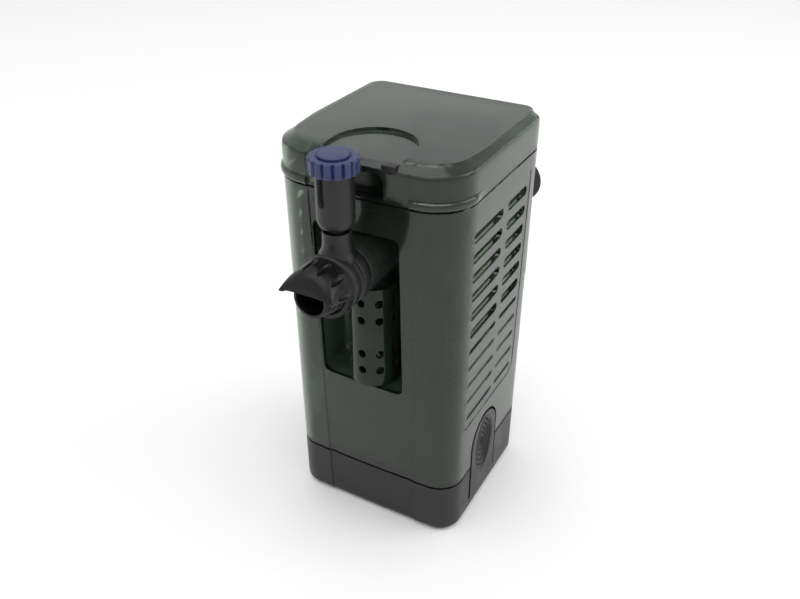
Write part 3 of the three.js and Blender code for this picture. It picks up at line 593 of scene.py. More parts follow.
# the fine line that frames the slots: up the back end, and along the foot
z_up = np.linspace(80, 206, 22)
frame_line = np.vstack(
    [
        np.c_[31.5 + 0.0338 * z_up[::-1], z_up[::-1]],
        np.c_[np.linspace(32.5, 28, 5)[1:], [77.6, 76.0, 75.0, 74.5]],
        np.c_[np.linspace(24, -34, 12), np.full(12, 74.5)],
    ]
)
FRAME_HALF = 0.7


def offset_line(line, amount):
    """A line moved sideways by an amount along its own normals."""
    run = np.gradient(line, axis=0)
    run /= np.linalg.norm(run, axis=1)[:, None]
    return line + amount * np.c_[-run[:, 1], run[:, 0]]


for sign in (1, -1):
    for amount in (-FRAME_HALF, 0.0, FRAME_HALF):
        lines.append(on_side(offset_line(frame_line, amount), sign))


# %% Canister: carry the plane on to the wall
def segment_gap(points, start, end):
    """Distance from points to the straight line between two ends."""
    along = end - start
    t = np.clip(((points - start) @ along) / (along @ along), 0, 1)
    return np.linalg.norm(points - start - t[:, None] * along, axis=1)


def canister_wall(flat):
    """The wall with its channel, grooves and frame line pressed in by an inset that depends on (q, z)."""
    q, z = flat.T
    bare = casing(q, z)
    sides = np.abs(q) > SIDE_START
    y_z = bare[:, 1:]
    depth = CHANNEL_DEEP * channel(bare)
    for start, end, level, radius in grooves:
        gap = segment_gap(y_z, np.array([start, level]), np.array([end, level]))
        depth = np.maximum(depth, sides * 0.8 * ramp(-gap, -radius, 0.45 - radius))
    gap = np.full(len(q), 9.0)
    for start, end in zip(frame_line[:-1], frame_line[1:]):
        gap = np.minimum(gap, segment_gap(y_z, start, end))
    depth = np.maximum(depth, sides * 1.5 * ramp(-gap, -FRAME_HALF, -0.15))
    return casing(q, z, depth)


rows = np.linspace(CANISTER_LOW, CANISTER_HIGH, 24)[1:-1]
flat, faces = sheet(wall_border(CANISTER_LOW, CANISTER_HIGH, rows), wall_points(rows), holes, lines)
canister = build("canister_wall", (canister_wall(flat), faces), outward=False)
settle(canister, "root", smoked_san, ["canister_body"], wall=WALL, bevel=0.3)

# %% Niche behind the window
# its rings shrink with depth: the mouth follows the bowed front, and the last ones close the flat back
rim = casing(q_front(window[:, 0], window[:, 1]), window[:, 1], CHANNEL_DEEP + 0.3)
middle = np.array([-2.5, -30.0, 149.75])
shrink = np.array([0.0, 0.0, 0.012, 0.035, 0.085, 0.16])[:, None]
depth = np.array([0.0, 0.5, 0.85, 0.95, 1.0, 1.0])[:, None]
sides = rim[None, :, ::2] + (middle[::2] - rim[:, ::2]) * shrink[..., None]
deep = rim[None, :, 1] * (1 - depth) + middle[1] * depth
rings = np.stack([sides[..., 0], deep, sides[..., 1]], -1)
flat_back = middle + (rings[-1] - middle) * np.linspace(0.7, 0, 4)[:, None, None]
niche = build("outlet_niche", grid(np.concatenate([rings, flat_back]), wrap_columns=True), outward=False)
settle(niche, "root", inner_san, ["outlet_frame"], wall=1.2, bevel=0.25)

# %% [markdown]
# ## Rails and hinge lugs at the back
# The bracket slides on two T-shaped rails, and two lugs hold the hinge pin. They are plain mouldings: a block
# carried through the wall, with small soft edges, and a turned eye round the pin.
# %% Rails and lugs
parts = []
for side in (1, -1):
    parts.append(box([side * 22 - 2, 49.5, 150], [side * 22 + 2, 54.4, 201]))
    parts.append(box([side * 22 - 5, 54, 150], [side * 22 + 5, 55.8, 201]))
rails = build("back_rails", *parts)
settle(rails, "root", smoked_san, bevel=0.4)
parts = []
for side in (1, -1):
    low, high = sorted((side * 20.5, side * 27.0))
    parts += [box([low, 50.4, 206], [high, 59.2, 217.9]), box([low, 52.9, 206], [high, 59.4, 222.4])]
    parts.append(turned([(0, low), (3.4, low), (3.4, high), (0, high)], (0, 56, 222.4), "x", 48))
lugs = build("hinge_lugs", *parts)
settle(lugs, "root", smoked_san, bevel=0.4)

# %% [markdown]
# ## The lid
# The lid is one shell: a skirt that carries on from the canister, a chamfer, and a flat roof. The roof and the
# chamfer are pressed down 1.4 mm in a U round the air knob, the channel carries on up the front, and a half-round
# bead runs along the foot of the front as far as the channel. The skirt and chamfer are unrolled like the
# canister, with s running up the skirt and on up the chamfer. The roof is drawn in plan, and its border is
# the chamfer's top edge, so that the two meet point for point.
# %% Lid: skirt and chamfer
LID_LOW = 218.9
SCOOP = (22.45, 22.7)
CAP_Z = 238.6
SECTION_START = 218.7
# the section as (inset, height): a straight skirt, a soft shoulder, and a chamfer from the crease to the roof
SECTION = np.array(
    [(0, SECTION_START), (0, 229), (0, 232), (0.1, 234), (0.3, 235.2), (0.6, 236)]
    + [(1, 236.5), (3, 237.6), (7, 240)]
)
SECTION_S = SECTION_START + np.r_[0, np.cumsum(np.hypot(*np.diff(SECTION, axis=0).T))]
SHOULDER, LID_HIGH = SECTION_S[6], SECTION_S[-1]
BEAD_S, BEAD_RADIUS, BEAD_OUT = 221.2, 2.4, 1.4


def crown(x, y):
    """The roof's gentle rise towards its middle: a product of two parabolas."""
    return 0.6 * np.maximum(1 - (x / 47) ** 2, 0) * np.maximum(1 - ((y + 3) / 46) ** 2, 0)


def scoop_depth(x, y):
    """1 inside the U round the knob and 0 outside it, with a steep step between."""
    gap = np.where(y > -40, np.hypot(x, y + 40), np.abs(x))
    return ramp(-gap, -SCOOP[1], -SCOOP[0])


def lid_wall(flat):
    """Height and inset follow the section, the chamfer narrows backwards, the bead stands out in front."""
    q, s = flat.T
    z = np.interp(s, SECTION_S, SECTION[:, 1])
    inset = np.interp(s, SECTION_S, SECTION[:, 0])
    lift = np.clip((inset - 1.0) / 6.0, 0, 1)
    inset = inset * (1 - lift * (0.42 - 0.5 * ramp(-casing(q, z)[:, 1], 10, 55)))
    bare = casing(q, z, inset, 0.4 * inset, 1.5 * lift)
    swell = np.sqrt(np.clip(1 - ((s - BEAD_S) / BEAD_RADIUS) ** 2, 0, 1))
    bead = BEAD_OUT * swell * ramp(-bare[:, 1], 30, 38) * (1 - channel(bare))
    full = casing(q, z, inset + CHANNEL_DEEP * channel(bare) - bead, 0.4 * inset, 1.5 * lift)
    x, y = full[:, 0], full[:, 1]
    sunk = scoop_depth(x, y) * np.maximum(z - CAP_Z, 0)
    full[:, 2] = z - sunk + crown(x, y) * (z > 239.9) * (1 - scoop_depth(x, y))
    return full


bead_rows = BEAD_S + BEAD_RADIUS * np.sin(np.linspace(-np.pi / 2, np.pi / 2, 9))
cap_s = np.interp(CAP_Z, SECTION[:, 1], SECTION_S)
rows = np.r_[bead_rows, 226.5, SECTION_S[1:8], cap_s, (cap_s + LID_HIGH) / 2]
rows = rows[rows > LID_LOW + 0.2]
s_line = np.r_[LID_LOW, rows, LID_HIGH]
lines = [np.c_[COLUMNS, np.full(len(COLUMNS), s)] for s in (*bead_rows[1:], SHOULDER, cap_s)]
for sign in (1, -1):
    for edge in CHANNEL:
        lines.append(np.c_[q_front(sign * edge, np.minimum(s_line, 238.0)), s_line])
    s_top = np.linspace(cap_s, LID_HIGH, 5)
    for edge in SCOOP:
        z_top = np.interp(s_top, SECTION_S, SECTION[:, 1])
        lines.append(np.c_[q_front(sign * edge, z_top, np.interp(s_top, SECTION_S, SECTION[:, 0])), s_top])
pocket = lozenge(-15.5, 15.5, 219.8, 233.6, 3.0, 3.0)
holes = [np.c_[q_front(pocket[:, 0], pocket[:, 1]), pocket[:, 1]]]
flat, faces = sheet(wall_border(LID_LOW, LID_HIGH, rows), wall_points(rows), holes, lines, 0.5)
skirt = lid_wall(flat)

# %% Lid: roof
rim = np.flatnonzero(flat[:, 1] > LID_HIGH - 1e-3)
rim = rim[np.argsort(flat[rim, 0])]
rim = rim[np.abs(flat[rim, 0] + AROUND) > 1e-3]
border = skirt[rim][:, :2]


def from_rim(x):
    """The border point at the front that is nearest to x."""
    front = border[border[:, 1] < -40]
    return front[np.argmin(np.abs(front[:, 0] - x))]


lines = []
turn = np.linspace(0, np.pi, 41)
for radius in SCOOP:
    arc = np.c_[radius * np.cos(turn), -40 + radius * np.sin(turn)]
    lines.append(np.vstack([from_rim(radius), arc, from_rim(-radius)]))
x, y = np.meshgrid(np.arange(-45, 46, 5.0), np.arange(-50, 50, 5.0))
free = np.c_[x.ravel(), y.ravel()]
free = free[inside(free, border)]
plan, roof_faces = sheet(border, free, (), lines, 0.6)
x, y = plan.T
deep = scoop_depth(x, y)
level = HEIGHT - (HEIGHT - CAP_Z) * deep + crown(x, y) * (1 - deep)
roof = np.c_[plan, level]
lid = build("lid_shell", (skirt, faces), (roof, roof_faces), outward=False)
settle(lid, "lid", smoked_san, ["lid"], wall=2.4, bevel=0.4, sharp=28)
print("lid top:", round(float(roof[:, 2].max()), 2))

# %% Lid: finger pocket, knuckle, catches and inner rim
POCKET_BACK = -51.6
depth = np.linspace(0, 1, 4)[:, None, None]
start = casing(q_front(pocket[:, 0], pocket[:, 1]), pocket[:, 1], 1.4)
end = np.c_[start[:, 0], np.full(len(start), POCKET_BACK), start[:, 2]]
mouth = start[None] * (1 - depth) + end[None] * depth
centre = np.array([0, POCKET_BACK, 226.7])
back = centre + (mouth[-1] - centre) * np.linspace(1, 0, 4)[1:, None, None]
# the pocket's lining takes the near-black SAN: painted shade under the lid's lip
lining = build("lid_pocket", grid(np.concatenate([mouth, back]), wrap_columns=True), outward=False)
settle(lining, "lid", pocket_shade_san, wall=1.3, bevel=0.3)
knuckle = build(
    "lid_knuckle",
    turned([(0, -20), (3.4, -20), (3.4, 20), (0, 20)], (0, 56, 222.4), "x", 48),
    box([-20, 50, 219.4], [20, 56, 225.8]),
)
settle(knuckle, "lid", smoked_san, bevel=0.4)
catches = []
for side in (-1, 1):
    low, high = sorted((side * 14.5, side * 22.2))
    catches.append(box([low, -58.3, 234.6], [high, -53.0, 238.75]))
catch = build("lid_catches", *catches)
settle(catch, "lid", black_abs, bevel=0.5)
q, z = np.meshgrid(COLUMNS[1:], np.linspace(213, 219.1, 3))
ring = build("lid_rim", grid(casing(q, z, 3.5), wrap_columns=True), outward=False)
settle(ring, "lid", smoked_san, wall=1.6, bevel=0.3)

# %% [markdown]
# ## The base
# The base is a black cup under the canister: the same wall, a 5 mm fillet round the foot, and a flat underside.
# Its top edge leaves a seam under the canister. A spigot inside closes it, and stops short of the two latches, so
# that they can bend inwards.
# %% Base
FILLET = 5.0
FILLET_RUN = FILLET * np.pi / 2
BASE_TOP = 35.3


def base_wall(flat):
    """A quarter circle of radius 5 up from the foot, then straight up; the channel is pressed in as above."""
    q, s = flat.T
    angle = np.clip(s / FILLET_RUN, 0, 1) * np.pi / 2
    z = np.where(s < FILLET_RUN, FILLET * (1 - np.cos(angle)), FILLET + s - FILLET_RUN)
    inset = FILLET * (1 - np.sin(angle))
    bare = casing(q, z, inset)
    return casing(q, z, inset + CHANNEL_DEEP * channel(bare))


BASE_HIGH = BASE_TOP - FILLET + FILLET_RUN
rows = np.r_[np.linspace(0, FILLET_RUN, 7)[1:], np.linspace(FILLET_RUN, BASE_HIGH, 7)[1:-1]]
s_line = np.r_[0, rows, BASE_HIGH]
lines = [np.c_[COLUMNS, np.full(len(COLUMNS), s)] for s in rows[:6]]
base_z = np.maximum(s_line - 2.85, 1)
lines += [np.c_[q_front(sign * edge, base_z), s_line] for sign in (1, -1) for edge in CHANNEL]
holes = []
for sign in (1, -1):
    notch = arch(LATCH_GAP, 9.4)
    holes.append(on_side(notch, sign) + np.array([0, FILLET_RUN - FILLET]))
flat, faces = sheet(wall_border(0, BASE_HIGH, rows), wall_points(rows), holes, lines, 0.5)
cup = base_wall(flat)
foot = np.flatnonzero(flat[:, 1] < 1e-3)
foot = foot[np.argsort(flat[foot, 0])]
foot = foot[np.abs(flat[foot, 0] + AROUND) > 1e-3]
border = cup[foot][:, :2]
x, y = np.meshgrid(np.arange(-45, 46, 9.0), np.arange(-45, 46, 9.0))
free = np.c_[x.ravel(), y.ravel()]
plan, floor_faces = sheet(border, free[inside(free, border)], (), (), 0.8)
underside = np.c_[plan, np.zeros(len(plan))]
base = build("base_cup", (cup, faces), (underside, floor_faces[:, ::-1]), outward=False)
settle(base, "root", black_abs, ["base_shell"], wall=WALL, bevel=0.35)
near, far = q_side(LATCH_Y - LATCH_HALF - 2.5, 34.0), q_side(LATCH_Y + LATCH_HALF + 2.5, 34.0)
bands = []
for first, last in ((-near, near), (far, AROUND), (-AROUND, -far)):
    q, z = np.meshgrid(np.linspace(first, last, 90), np.linspace(28, 41, 4))
    bands.append(grid(casing(q, z, WALL + 0.35)))
spigot = build("base_spigot", *bands, outward=False)
settle(spigot, "root", black_abs, wall=2.0, bevel=0.3)

# %% [markdown]
# ## Painted shade in the seams
# A thin near-black band lies in each seam, under the lid and on top of the base, as painted shade for the gap.
# It lies 1.2 mm back from the wall and reads as a fine black line. The lower band stops at the latches' arches.
# A dark strip of the same painted shade lies in the frame line.
# %% Painted shade bands in the seams
# painted shade: a matt near-black finish that darkens the seams and the frame line
seam_shade_black, tree, surface, place = finish(
    "black_painted_seam_shade", "#050505", Roughness=0.9, Specular_IOR_Level=0.1
)
mottle(tree, surface, place, 4.0, 0.8, 1.0)


# each band is painted shade laid in a seam
def shade_band(name, low, high, inset, body, spans):
    """A band of the casing's outline between two heights, over each span of q, with a wall of its own."""
    level = np.linspace(low, high, 2)[:, None]
    bands = []
    for start, end in spans:
        q = np.broadcast_to(np.linspace(start, end, 90), (2, 90))
        bands.append(grid(casing(q, level + 0 * q, inset)))
    made = build(name, *bands, outward=False)
    settle(made, body, seam_shade_black, wall=2.0)


SHADE_INSET = 1.2
near = q_side(LATCH_Y - LATCH_HALF - LATCH_GAP, 36.0)
far = q_side(LATCH_Y + LATCH_HALF + LATCH_GAP, 36.0)
shade_band("base_seam_shade", 35.1, 37.0, SHADE_INSET, "root", [(-near, near), (far, AROUND), (-AROUND, -far)])
shade_band("lid_seam_shade", 217.4, 219.0, SHADE_INSET, "root", [(-AROUND, AROUND)])

# %% Painted shade strips in the frame line
# a dark strip laid in the frame line's groove is painted shade
shade_strips = []
for sign in (1, -1):
    edges = [on_side(offset_line(frame_line, amount), sign) for amount in (-0.4, 0.4)]
    shade_strips.append(grid(np.stack([casing(edge[:, 0], edge[:, 1], 1.0) for edge in edges], 1)))
frame_shade = build("frame_line_shade", *shade_strips, outward=False)
settle(frame_shade, "root", seam_shade_black, wall=0.3)

# %% [markdown]
# ## Latches
# Each latch is a springy tongue with an arch-shaped top and an oval thumb dish. Fine ribs run round the dish, one
# inside the other, so that a wet thumb holds. The face is a polar grid: rings of an ellipse inside the dish,
# then rings that change from the ellipse to the arch.
# %% Latch
DISH_Z, DISH_Y_HALF, DISH_Z_HALF, DISH_DEEP = 42.4, 11.8, 22.9, 3.2


def latch(side):
    """Depth = deep (1 - r^2)^0.5 with rib waves in r inside the dish, flat outside, then a rim inwards."""
    edge = arch(0.0, 10.0, 44)
    foot = np.c_[np.linspace(LATCH_Y - LATCH_HALF, LATCH_Y + LATCH_HALF, 14)[1:-1], np.full(12, 10.0)]
    edge = np.vstack([edge, foot])
    angle = np.arctan2((edge[:, 1] - DISH_Z) / DISH_Z_HALF, (edge[:, 0] - LATCH_Y) / DISH_Y_HALF)
    oval = np.c_[LATCH_Y + DISH_Y_HALF * np.cos(angle), DISH_Z + (DISH_Z_HALF - 1.9) * np.sin(angle)]
    r = np.linspace(0.0, 1.0, 61)[:, None, None]
    centre = np.array([LATCH_Y, DISH_Z])
    dish = centre + (oval - centre)[None] * r
    outer = oval[None] + (edge - oval)[None] * np.linspace(0, 1, 7)[1:, None, None]
    r = r[:, :, 0]
    ribs = 1.3 * np.abs(np.sin(np.pi * 6 * r)) ** 0.7 * ramp(r, 0.05, 0.15) * (1 - ramp(r, 0.93, 1.0))
    deep = DISH_DEEP * np.sqrt(np.clip(1 - r**2, 0, 1)) - ribs
    flat = np.concatenate([dish, outer])
    sunk = np.concatenate([np.broadcast_to(deep, dish.shape[:2]), np.zeros(outer.shape[:2])])
    face_x = 54.5 + 0.6 * flat[..., 1] / HEIGHT + 0.28
    face = np.stack([side * (face_x - sunk), flat[..., 0], flat[..., 1]], -1)
    rim = face[-1:].copy()
    inner = np.repeat(rim, 3, 0)
    inner[:, :, 0] -= side * np.array([1.5, 4.3, 4.3])[:, None]
    inner[2, :, 1:] = centre + (inner[2, :, 1:] - centre) * 0.5
    closing = np.broadcast_to(np.array([side * 50.4, LATCH_Y, DISH_Z]), inner[:1].shape)
    return grid(np.concatenate([face, inner, closing]), wrap_columns=True)


for side, name in ((1, "latch_right"), (-1, "latch_left")):
    near, far = sorted((side * 49.7, side * 51.1))
    catch = box([near, LATCH_Y - 20.8, 50.8], [far, LATCH_Y + 20.8, 54])
    tongue = build(name + "_tongue", latch(side), catch)
    settle(tongue, name, black_abs, [name], bevel=0.25, sharp=50)

# %% [markdown]
# ## Outlet column, riser and socket
# The column is a half-round tube with rows of round holes, and it is unrolled like the casing: u runs round it,
# and the holes are circles in (u, z). The riser inside it and the socket above it are turned pieces, drawn as a
# closed profile that goes up the outside and back down the bore.
# %% Column
COLUMN_Y, COLUMN_R = -43.0, 13.4
ARC_U = COLUMN_R * np.pi / 2
SIDE_U = -30.4 - COLUMN_Y


def column_wall(flat, radius=COLUMN_R):
    """u within a quarter turn either side of the front lies on the circle; beyond it the wall is straight."""
    u, z = flat.T
    angle = np.clip(u / COLUMN_R, -np.pi / 2, np.pi / 2)
    beyond = np.maximum(np.abs(u) - ARC_U, 0)
    x = radius * np.sin(angle)
    y = COLUMN_Y - radius * np.cos(angle) + beyond
    return np.stack([x, y, z], -1)


low, high = 101.9, 165.0
far_u = ARC_U + SIDE_U
right = np.linspace(ARC_U, far_u, 4)[1:]
u = np.r_[-right[::-1], np.linspace(-ARC_U, ARC_U, 29), right]
rows = np.linspace(low, high, 15)[1:-1]
bottom, top = np.c_[u, np.full(len(u), low)], np.c_[u[::-1], np.full(len(u), high)]
up, down = np.c_[np.full(13, u[-1]), rows], np.c_[np.full(13, u[0]), rows[::-1]]
border = np.vstack([bottom, up, top, down])
turn = np.linspace(0, 2 * np.pi, 20, endpoint=False)
ring = 2.4 * np.c_[np.cos(turn), np.sin(turn)]
holes = []
for k in (0, 1, 3, 4):
    for degrees in (-90, -45, 0, 45, 90):
        holes.append(ring + np.array([math.radians(degrees) * COLUMN_R, 156 - 10.9 * k]))
mesh_q, mesh_z = np.meshgrid(u[1:-1], rows)
flat, faces = sheet(border, np.c_[mesh_q.ravel(), mesh_z.ravel()], holes, (), 0.7)
column = build("column_tube", (column_wall(flat), faces), outward=False)
settle(column, "root", deep_san, ["flow_column"], wall=1.8, bevel=0.3)
flanges = [box([x, -33.4, low], [x + 3.2, -31.9, high]) for x in (13.4, -16.6)]
flange = build("column_flanges", *flanges)
settle(flange, "root", deep_san, bevel=0.3)

# %% Riser and socket
OUTLET_Z = 182.5
profile = rounded([(6.1, 90), (7.5, 90), (7.5, 169), (6.1, 169), (6.1, 90)], 0.3, 2)
riser = build("riser", turned(profile, (0, -40, 0), sides=48))
settle(riser, "root", inner_san, ["riser_tube"])
profile = rounded([(0, -33.2), (15, -33.2), (15, -68.2), (12.9, -68.2), (12.9, -35.7), (0, -35.7)], 0.6, 3)
foot = rounded([(7.9, 165.4), (8.9, 165.4), (8.9, 170.5), (7.9, 170.5), (7.9, 165.4)], 0.2, 2)
tube = turned(profile, (0, 0, OUTLET_Z), "y", 80)
socket = build("outlet_socket_tube", tube, turned(foot, (0, -40, 0), "z", 48))
settle(socket, "root", clear_san, ["outlet_socket"])

# %% [markdown]
# ## Tee, O-ring and neck
# The tee plugs into the socket and swivels in it. Its ring has a groove behind a thin flange, and a neck flares
# out of it, upwards, to carry the air valve. All of it is turned, so each part is one profile; the neck's foot is
# wider across than along, so that it melts into the ring.
# %% Tee
flange_part = [(8.6, -86), (14.0, -86), (15.6, -84.4), (15.6, -80.2), (14.3, -79.8), (14.3, -76.4), (15.6, -76.0)]
body_part = [(15.6, -70.6), (14.6, -68.6), (12.3, -68.6), (12.3, -64.2)]
groove_part = [(11.2, -64.2), (11.2, -61.4), (12.3, -61.4), (12.3, -57), (8.6, -57), (8.6, -86)]
ring_profile = rounded(flange_part + body_part + groove_part, 0.4, 3)
def neck_width(height):
    """The neck's half width: 7.2 mm, with a foot that swells by 2.4 mm as exp(-rise / 2.2)."""
    return 7.2 + 2.4 * np.exp(-np.maximum(height - 196.5, 0) / 2.2)


level = np.linspace(186, 204.5, 26)
mouth = rounded([(7.2, 204.8), (7.2, 209), (5.9, 209), (5.9, 204), (4.6, 204), (4.6, 190)], 0.35, 3)
neck_profile = np.vstack([np.c_[neck_width(level), level], mouth])


def neck_growth(angle, height):
    """The foot keeps its full width along x, and is held in to 8.4 mm along y."""
    wide = neck_width(height)
    along = np.minimum(wide, 8.4)
    squeezed = np.sqrt(np.cos(angle) ** 2 + (np.sin(angle) * along / wide) ** 2)
    return np.where(height < 204.6, squeezed, 1.0)


ring_part = turned(ring_profile, (0, 0, OUTLET_Z), "y", 96)
tee = build("tee_elbow", ring_part, turned(neck_profile, (0, -76, 0), "z", 80, neck_growth))
settle(tee, "tee", black_abs, ["tee_body"])
tube = np.linspace(0, 2 * np.pi, 17)
profile = np.c_[12.1 + 0.65 * np.cos(tube), -62.8 + 0.65 * np.sin(tube)]
seal = build("tee_seal", turned(profile, (0, 0, OUTLET_Z), "y", 64))
settle(seal, "tee", rubber, ["tee_o_ring"])

# %% [markdown]
# ## Duck-bill nozzle
# The hood is a collar whose upper half narrows forwards to a straight lip, like a duck's bill. It is one grid:
# `along` runs from collar to lip and `angle` over the top, and long grip dimples are pressed in. The inside is
# the same formula, 2 mm smaller. The jet tube under it is a ribbed cone with a dark round mouth.
# %% Hood
HOOD = {"radius": 15.4, "back": -86.35, "collar": -91.5, "lip": -105.5}


def bill(angle, along, radius, rise):
    """Height falls as (1 - t^2.6)^0.5 to a lip 3.4 above the axis; t runs from collar to lip."""
    t = np.clip((HOOD["collar"] - along) / (HOOD["collar"] - HOOD["lip"]), 0, 1)
    height = rise * np.sqrt(1 - 0.985 * t**2.6) + (radius - rise) * (1 - t)
    lifted = OUTLET_Z + 3.4 * t**1.4 + height * np.sin(angle)
    return np.stack(np.broadcast_arrays(radius * np.cos(angle), along, lifted), -1)


def dimple(angle, along):
    """Six long hollows 32 degrees apart, each half an ellipsoid 1 mm deep in (angle, along)."""
    nearest = np.round((angle - math.radians(10)) / math.radians(32)) * math.radians(32) + math.radians(10)
    sideways = (angle - nearest) * 15.4 / 1.6
    lengthways = (along + 94.2) / 5.6
    return 1.0 * np.sqrt(np.clip(1 - sideways**2 - lengthways**2, 0, 1))


angle = np.linspace(0, np.pi, 181)[None, :]
along = np.r_[np.linspace(-86.35, -91.5, 12), np.linspace(-91.5, -105.5, 44)[1:]][:, None]
outer = bill(angle, along, HOOD["radius"], 14.4)
centre_line = np.array([0, 0, OUTLET_Z])
radial = outer - centre_line
radial[..., 1] = 0
radial /= np.linalg.norm(radial, axis=-1, keepdims=True) + 1e-9
outer -= radial * dimple(angle, along)[..., None]
within = bill(angle, np.minimum(along + 0.9, -87.0), HOOD["radius"] - 1.9, 12.8)
within[..., 2] -= 0.25
top = np.concatenate([outer, within[::-1]])
half_ring = np.linspace(np.pi, 2 * np.pi, 61)[None, :]
along_ring = np.linspace(-86.35, -91.0, 8)[:, None]
rolls = []
for radius, y in ((HOOD["radius"], along_ring), (13.3, along_ring[::-1])):
    x, z = radius * np.cos(half_ring), OUTLET_Z + radius * np.sin(half_ring)
    rolls.append(np.stack(np.broadcast_arrays(x, y, z), -1))
lower_out, lower_in = rolls
lower = np.concatenate([lower_out, lower_in, lower_out[:1]])
disc = rounded([(8.6, -86.35), (15.3, -86.35), (15.3, -87.9), (8.6, -87.9), (8.6, -86.35)], 0.3, 2)
upper = grid(np.concatenate([top, top[:1]]))
hood = build("nozzle_bill", upper, grid(lower), turned(disc, (0, 0, OUTLET_Z), "y", 96))
settle(hood, "nozzle", smooth_abs, ["nozzle_hood"], sharp=40)

# %% Jet tube
profile = [(8.2, -88.4)]
for k in range(4):
    radius = 12.4 - 0.85 * k
    y = -88.6 - 3.3 * k
    profile += [(radius, y), (radius, y - 1.7), (radius - 1.0, y - 2.2), (radius - 1.0, y - 3.2)]
profile += [(9.2, -101.8), (7.9, -101.8), (7.6, -99), (7.6, -89.4), (8.2, -88.4)]
jet = build("nozzle_jet", turned(rounded(profile, 0.25, 2), (0, 0, OUTLET_Z), "y", 80))
settle(jet, "nozzle", smooth_abs, ["jet_tube"])

# %% [markdown]
# ## Air valve and knob
# A round body sits on the neck, with a rounded foot and a U-shaped air slot in its rim. The blue knob above it
# has fifteen lobes, cut by deep narrow grooves, and a raised disc in its middle. The lobes are a wave round the
# turned profile: the radius falls by 1.5 mm where the wave's high power peaks.
# %% Valve body
VALVE_Y = -76.0
SLOT_AT = math.radians(257)


def slot_growth(angle, height):
    """Presses the rim in by a fifth over a U 4 mm wide, with a round foot about z 226."""
    across = (np.mod(angle - SLOT_AT + np.pi, 2 * np.pi) - np.pi) * 9.4
    level = np.maximum(226.0 - height, 0)
    gap = np.hypot(across, level)
    return 1 - 0.22 * ramp(-gap, -2.2, -1.9) * (height > 220)


body = rounded([(0, 210.5), (6.0, 210.5), (8.6, 212.0), (9.4, 215.0)], 1.5, 6)
side = np.c_[np.full(34, 9.4), np.linspace(215.0, 238.6, 34)]
body = np.vstack([body[:-1], side, rounded([(9.4, 239), (7.2, 239), (7.2, 222), (0, 222)], 0.4, 3)])
plug = rounded([(0, 200.2), (4.2, 200.2), (4.2, 211), (0, 211)], 0.4, 3)
body_part = turned(body, (0, VALVE_Y, 0), "z", 240, slot_growth)
valve = build("valve_body", body_part, turned(plug, (0, VALVE_Y, 0), "z", 48))
settle(valve, "tee", black_abs, ["air_valve_body"])
profile = rounded([(0, 221), (1.4, 222), (4.6, 226), (4.6, 229), (3.0, 229.5), (3.0, 244.8), (0, 244.8)], 0.4, 3)
stem = build("valve_needle", turned(profile, (0, VALVE_Y, 0), "z", 48))
settle(stem, "knob", grey_pp, ["valve_stem"])


# %% Knob
def lobes(angle, height):
    """Fifteen grooves: the radius falls where cos(15 a) is near -1, and the fall fades on the crown."""
    wave = (0.5 - 0.5 * np.cos(15 * angle)) ** 5
    return 1 - 0.125 * wave * (1 - ramp(height, 246.7, 247.05))


skirt_line = np.c_[np.full(8, 12.3), np.linspace(239.9, 245.2, 8)]
foot = rounded([(0, 241.4), (9.9, 241.4), (9.9, 239.4), (12.0, 239.4), (12.3, 239.8)], 0.3, 3)
crest = rounded([(12.3, 245.4), (12.3, 246.4), (11.7, 247.0), (8.7, 247.1), (8.3, 246.5), (0, 246.5)], 0.4, 4)
profile = np.vstack([foot[:-1], skirt_line, crest])
grip = build("knob_grip", turned(profile, (0, VALVE_Y, 0), "z", 360, lobes))
settle(grip, "knob", blue_abs, ["knob"])
profile = rounded([(0, 245.9), (7.4, 245.9), (7.4, 248.0), (0, 248.0)], 0.5, 4)
cap = build("knob_disc", turned(profile, (0, VALVE_Y, 0), "z", 96))
settle(cap, "knob", blue_abs, ["knob_cap"])

# %% [markdown]
# ## Bracket and suction cups
# The bracket is a flat plate with a big opening, drawn as a sheet with holes in the (x, z) plane. It clips round
# the rails. Each suction cup is turned: a button, a neck that snaps through the plate, and a cup with a thin lip.
# %% Bracket
plate = lozenge(-50, 50, 122, 203, 9, 6)
opening = lozenge(-13, 13, 136, 189, 5, 6)
turn = np.linspace(0, 2 * np.pi, 24, endpoint=False)
CUPS = ((-36, 186), (36, 186), (-28, 134), (28, 134))
eyes = [np.array(at) + 3.6 * np.c_[np.cos(turn), np.sin(turn)] for at in CUPS]
x, z = np.meshgrid(np.arange(-45, 46, 9.0), np.arange(128, 200, 9.0))
flat, faces = sheet(plate, np.c_[x.ravel(), z.ravel()], [opening, *eyes], (), 2.0)
panel = np.stack([flat[:, 0], np.full(len(flat), 59.4), flat[:, 1]], -1)
bracket = build("bracket_plate", (panel, faces[:, ::-1]), outward=False)
settle(bracket, "bracket", black_abs, ["bracket"], wall=3.0, bevel=0.6)
parts = []
for side in (-22, 22):
    for edge in (-1, 1):
        x = side + edge * 7
        parts.append(box([x - 1.4, 52.4, 152], [x + 1.4, 56.9, 197]))
        parts.append(box([side + edge * 5.4 - 2.6, 52.4, 152], [side + edge * 5.4 + 2.6, 53.6, 197]))
guides = build("bracket_guides", *parts)
settle(guides, "bracket", black_abs, bevel=0.3)

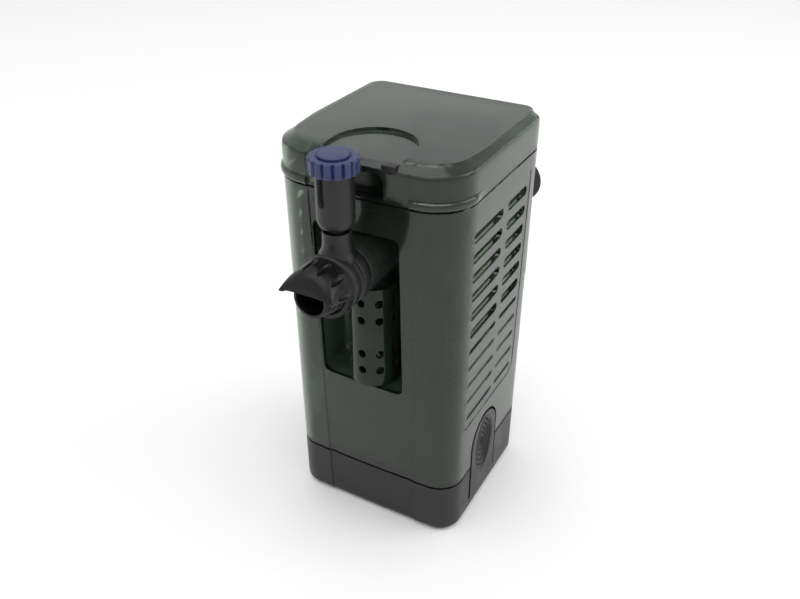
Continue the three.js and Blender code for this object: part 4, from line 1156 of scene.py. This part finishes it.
# %% Suction cups
button = [(0, 54.8), (4.4, 54.8), (4.6, 56.05), (3.2, 56.05), (3.2, 59.75), (6, 59.75), (6, 61.8)]
bell = [(8, 65), (12.4, 69.6), (14, 71.6), (14, 72), (13.4, 71.8), (10, 69.0), (6, 66.4), (0, 65.6)]
cup_profile = rounded(button + bell, 0.6, 3)
for k, (x, z) in enumerate(CUPS):
    cup = build(f"sucker_{k + 1}", turned(cup_profile, (x, 0, z), "y", 64))
    settle(cup, "bracket", rubber, [f"suction_cup_{k + 1}"])
snap_part = [(0, 46.2), (3.9, 46.2), (3.9, 49.9), (6.2, 49.9), (6.2, 52)]
profile = rounded(snap_part + [(5.2, 55), (3, 55), (3, 50.5), (0, 50.5)], 0.5, 3)
gland = build("cable_gland", turned(profile, (0, 0, 18), "y", 64))
settle(gland, "root", rubber, ["cord_gland"])

# %% [markdown]
# ## Foam and media
# The side pads are open-cell foam, cut as blocks: their edges are soft and their faces are a little crowned. A
# formula for a rounded block gives that in one grid. The ceramic rings in the middle of the basket are short
# tubes laid in rows, all worked out at once by adding one tube to many places.
# %% Foam pads
for name, node, low, high, look, fill in (
    ("pad_right", "foam_pad_right", (40.6, -37, 79), (50.3, 40, 204), sponge, 0.9),
    ("pad_left", "foam_pad_left", (-50.3, -37, 79), (-40.6, 40, 204), sponge, 0.9),
    ("carbon_pad", "carbon_cartridge", (-35.9, -24.9, 101), (35.9, 40.9, 134), carbon, 1.0),
    ("floss_pad", "fine_filter_pad", (-35.9, -24.9, 172.6), (35.9, 40.9, 190), floss, 0.8),
):
    pad = build(name, soft_block(low, high, 9.0, 56, 96))
    settle(pad, "root", look, [node])

# %% Ceramic rings
tube = np.array([(4.6, -5.2), (5.2, -4.6), (5.2, 4.6), (4.6, 5.2), (2.6, 5.2), (2.6, -5.2), (4.6, -5.2)])
turn = np.linspace(0, 2 * np.pi, 12, endpoint=False)
one = np.stack([tube[:, :1] * np.cos(turn), np.broadcast_to(tube[:, 1:], (7, 12)), tube[:, :1] * np.sin(turn)], -1)
x, y, z = np.meshgrid(np.linspace(-29.5, 29.5, 6), np.linspace(-18.8, 34.8, 5), [140.4, 152.0, 165.0])
places = np.stack([x.ravel(), y.ravel(), z.ravel()], -1)
bed = build("ceramic_rings", *[grid(one + place, wrap_columns=True) for place in places])
settle(bed, "root", sintered, ["bio_media_tray"])

# %% [markdown]
# ## Works that keep their CAD shape
# The motor, the pump and the basket sit inside the smoked casing, and only their outlines show. Their CAD solids
# are right as they are. Each takes a finish.
# %% Dress the CAD nodes
LOOKS = {
    "hinge_pin": steel, "motor_housing": grey_pp, "motor_plate": black_abs,
    "stator_core": laminations, "stator_coil": copper, "rotor_shaft": ceramic, "lower_bush": rubber,
    "upper_bush": rubber, "rotor_magnet": grey_pp, "impeller": black_abs, "pump_chamber": grey_pp,
    "pump_cover": grey_pp, "pump_screw_1": steel, "pump_screw_2": steel, "pump_screw_3": steel,
    "pump_screw_4": steel, "media_basket": grey_pp, "basket_handle": black_abs,
}
for name, look in LOOKS.items():
    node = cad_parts[name]
    for holder in node.material_slots:
        holder.link = "OBJECT"
        holder.material = look
print("dressed:", len(LOOKS), "nodes")
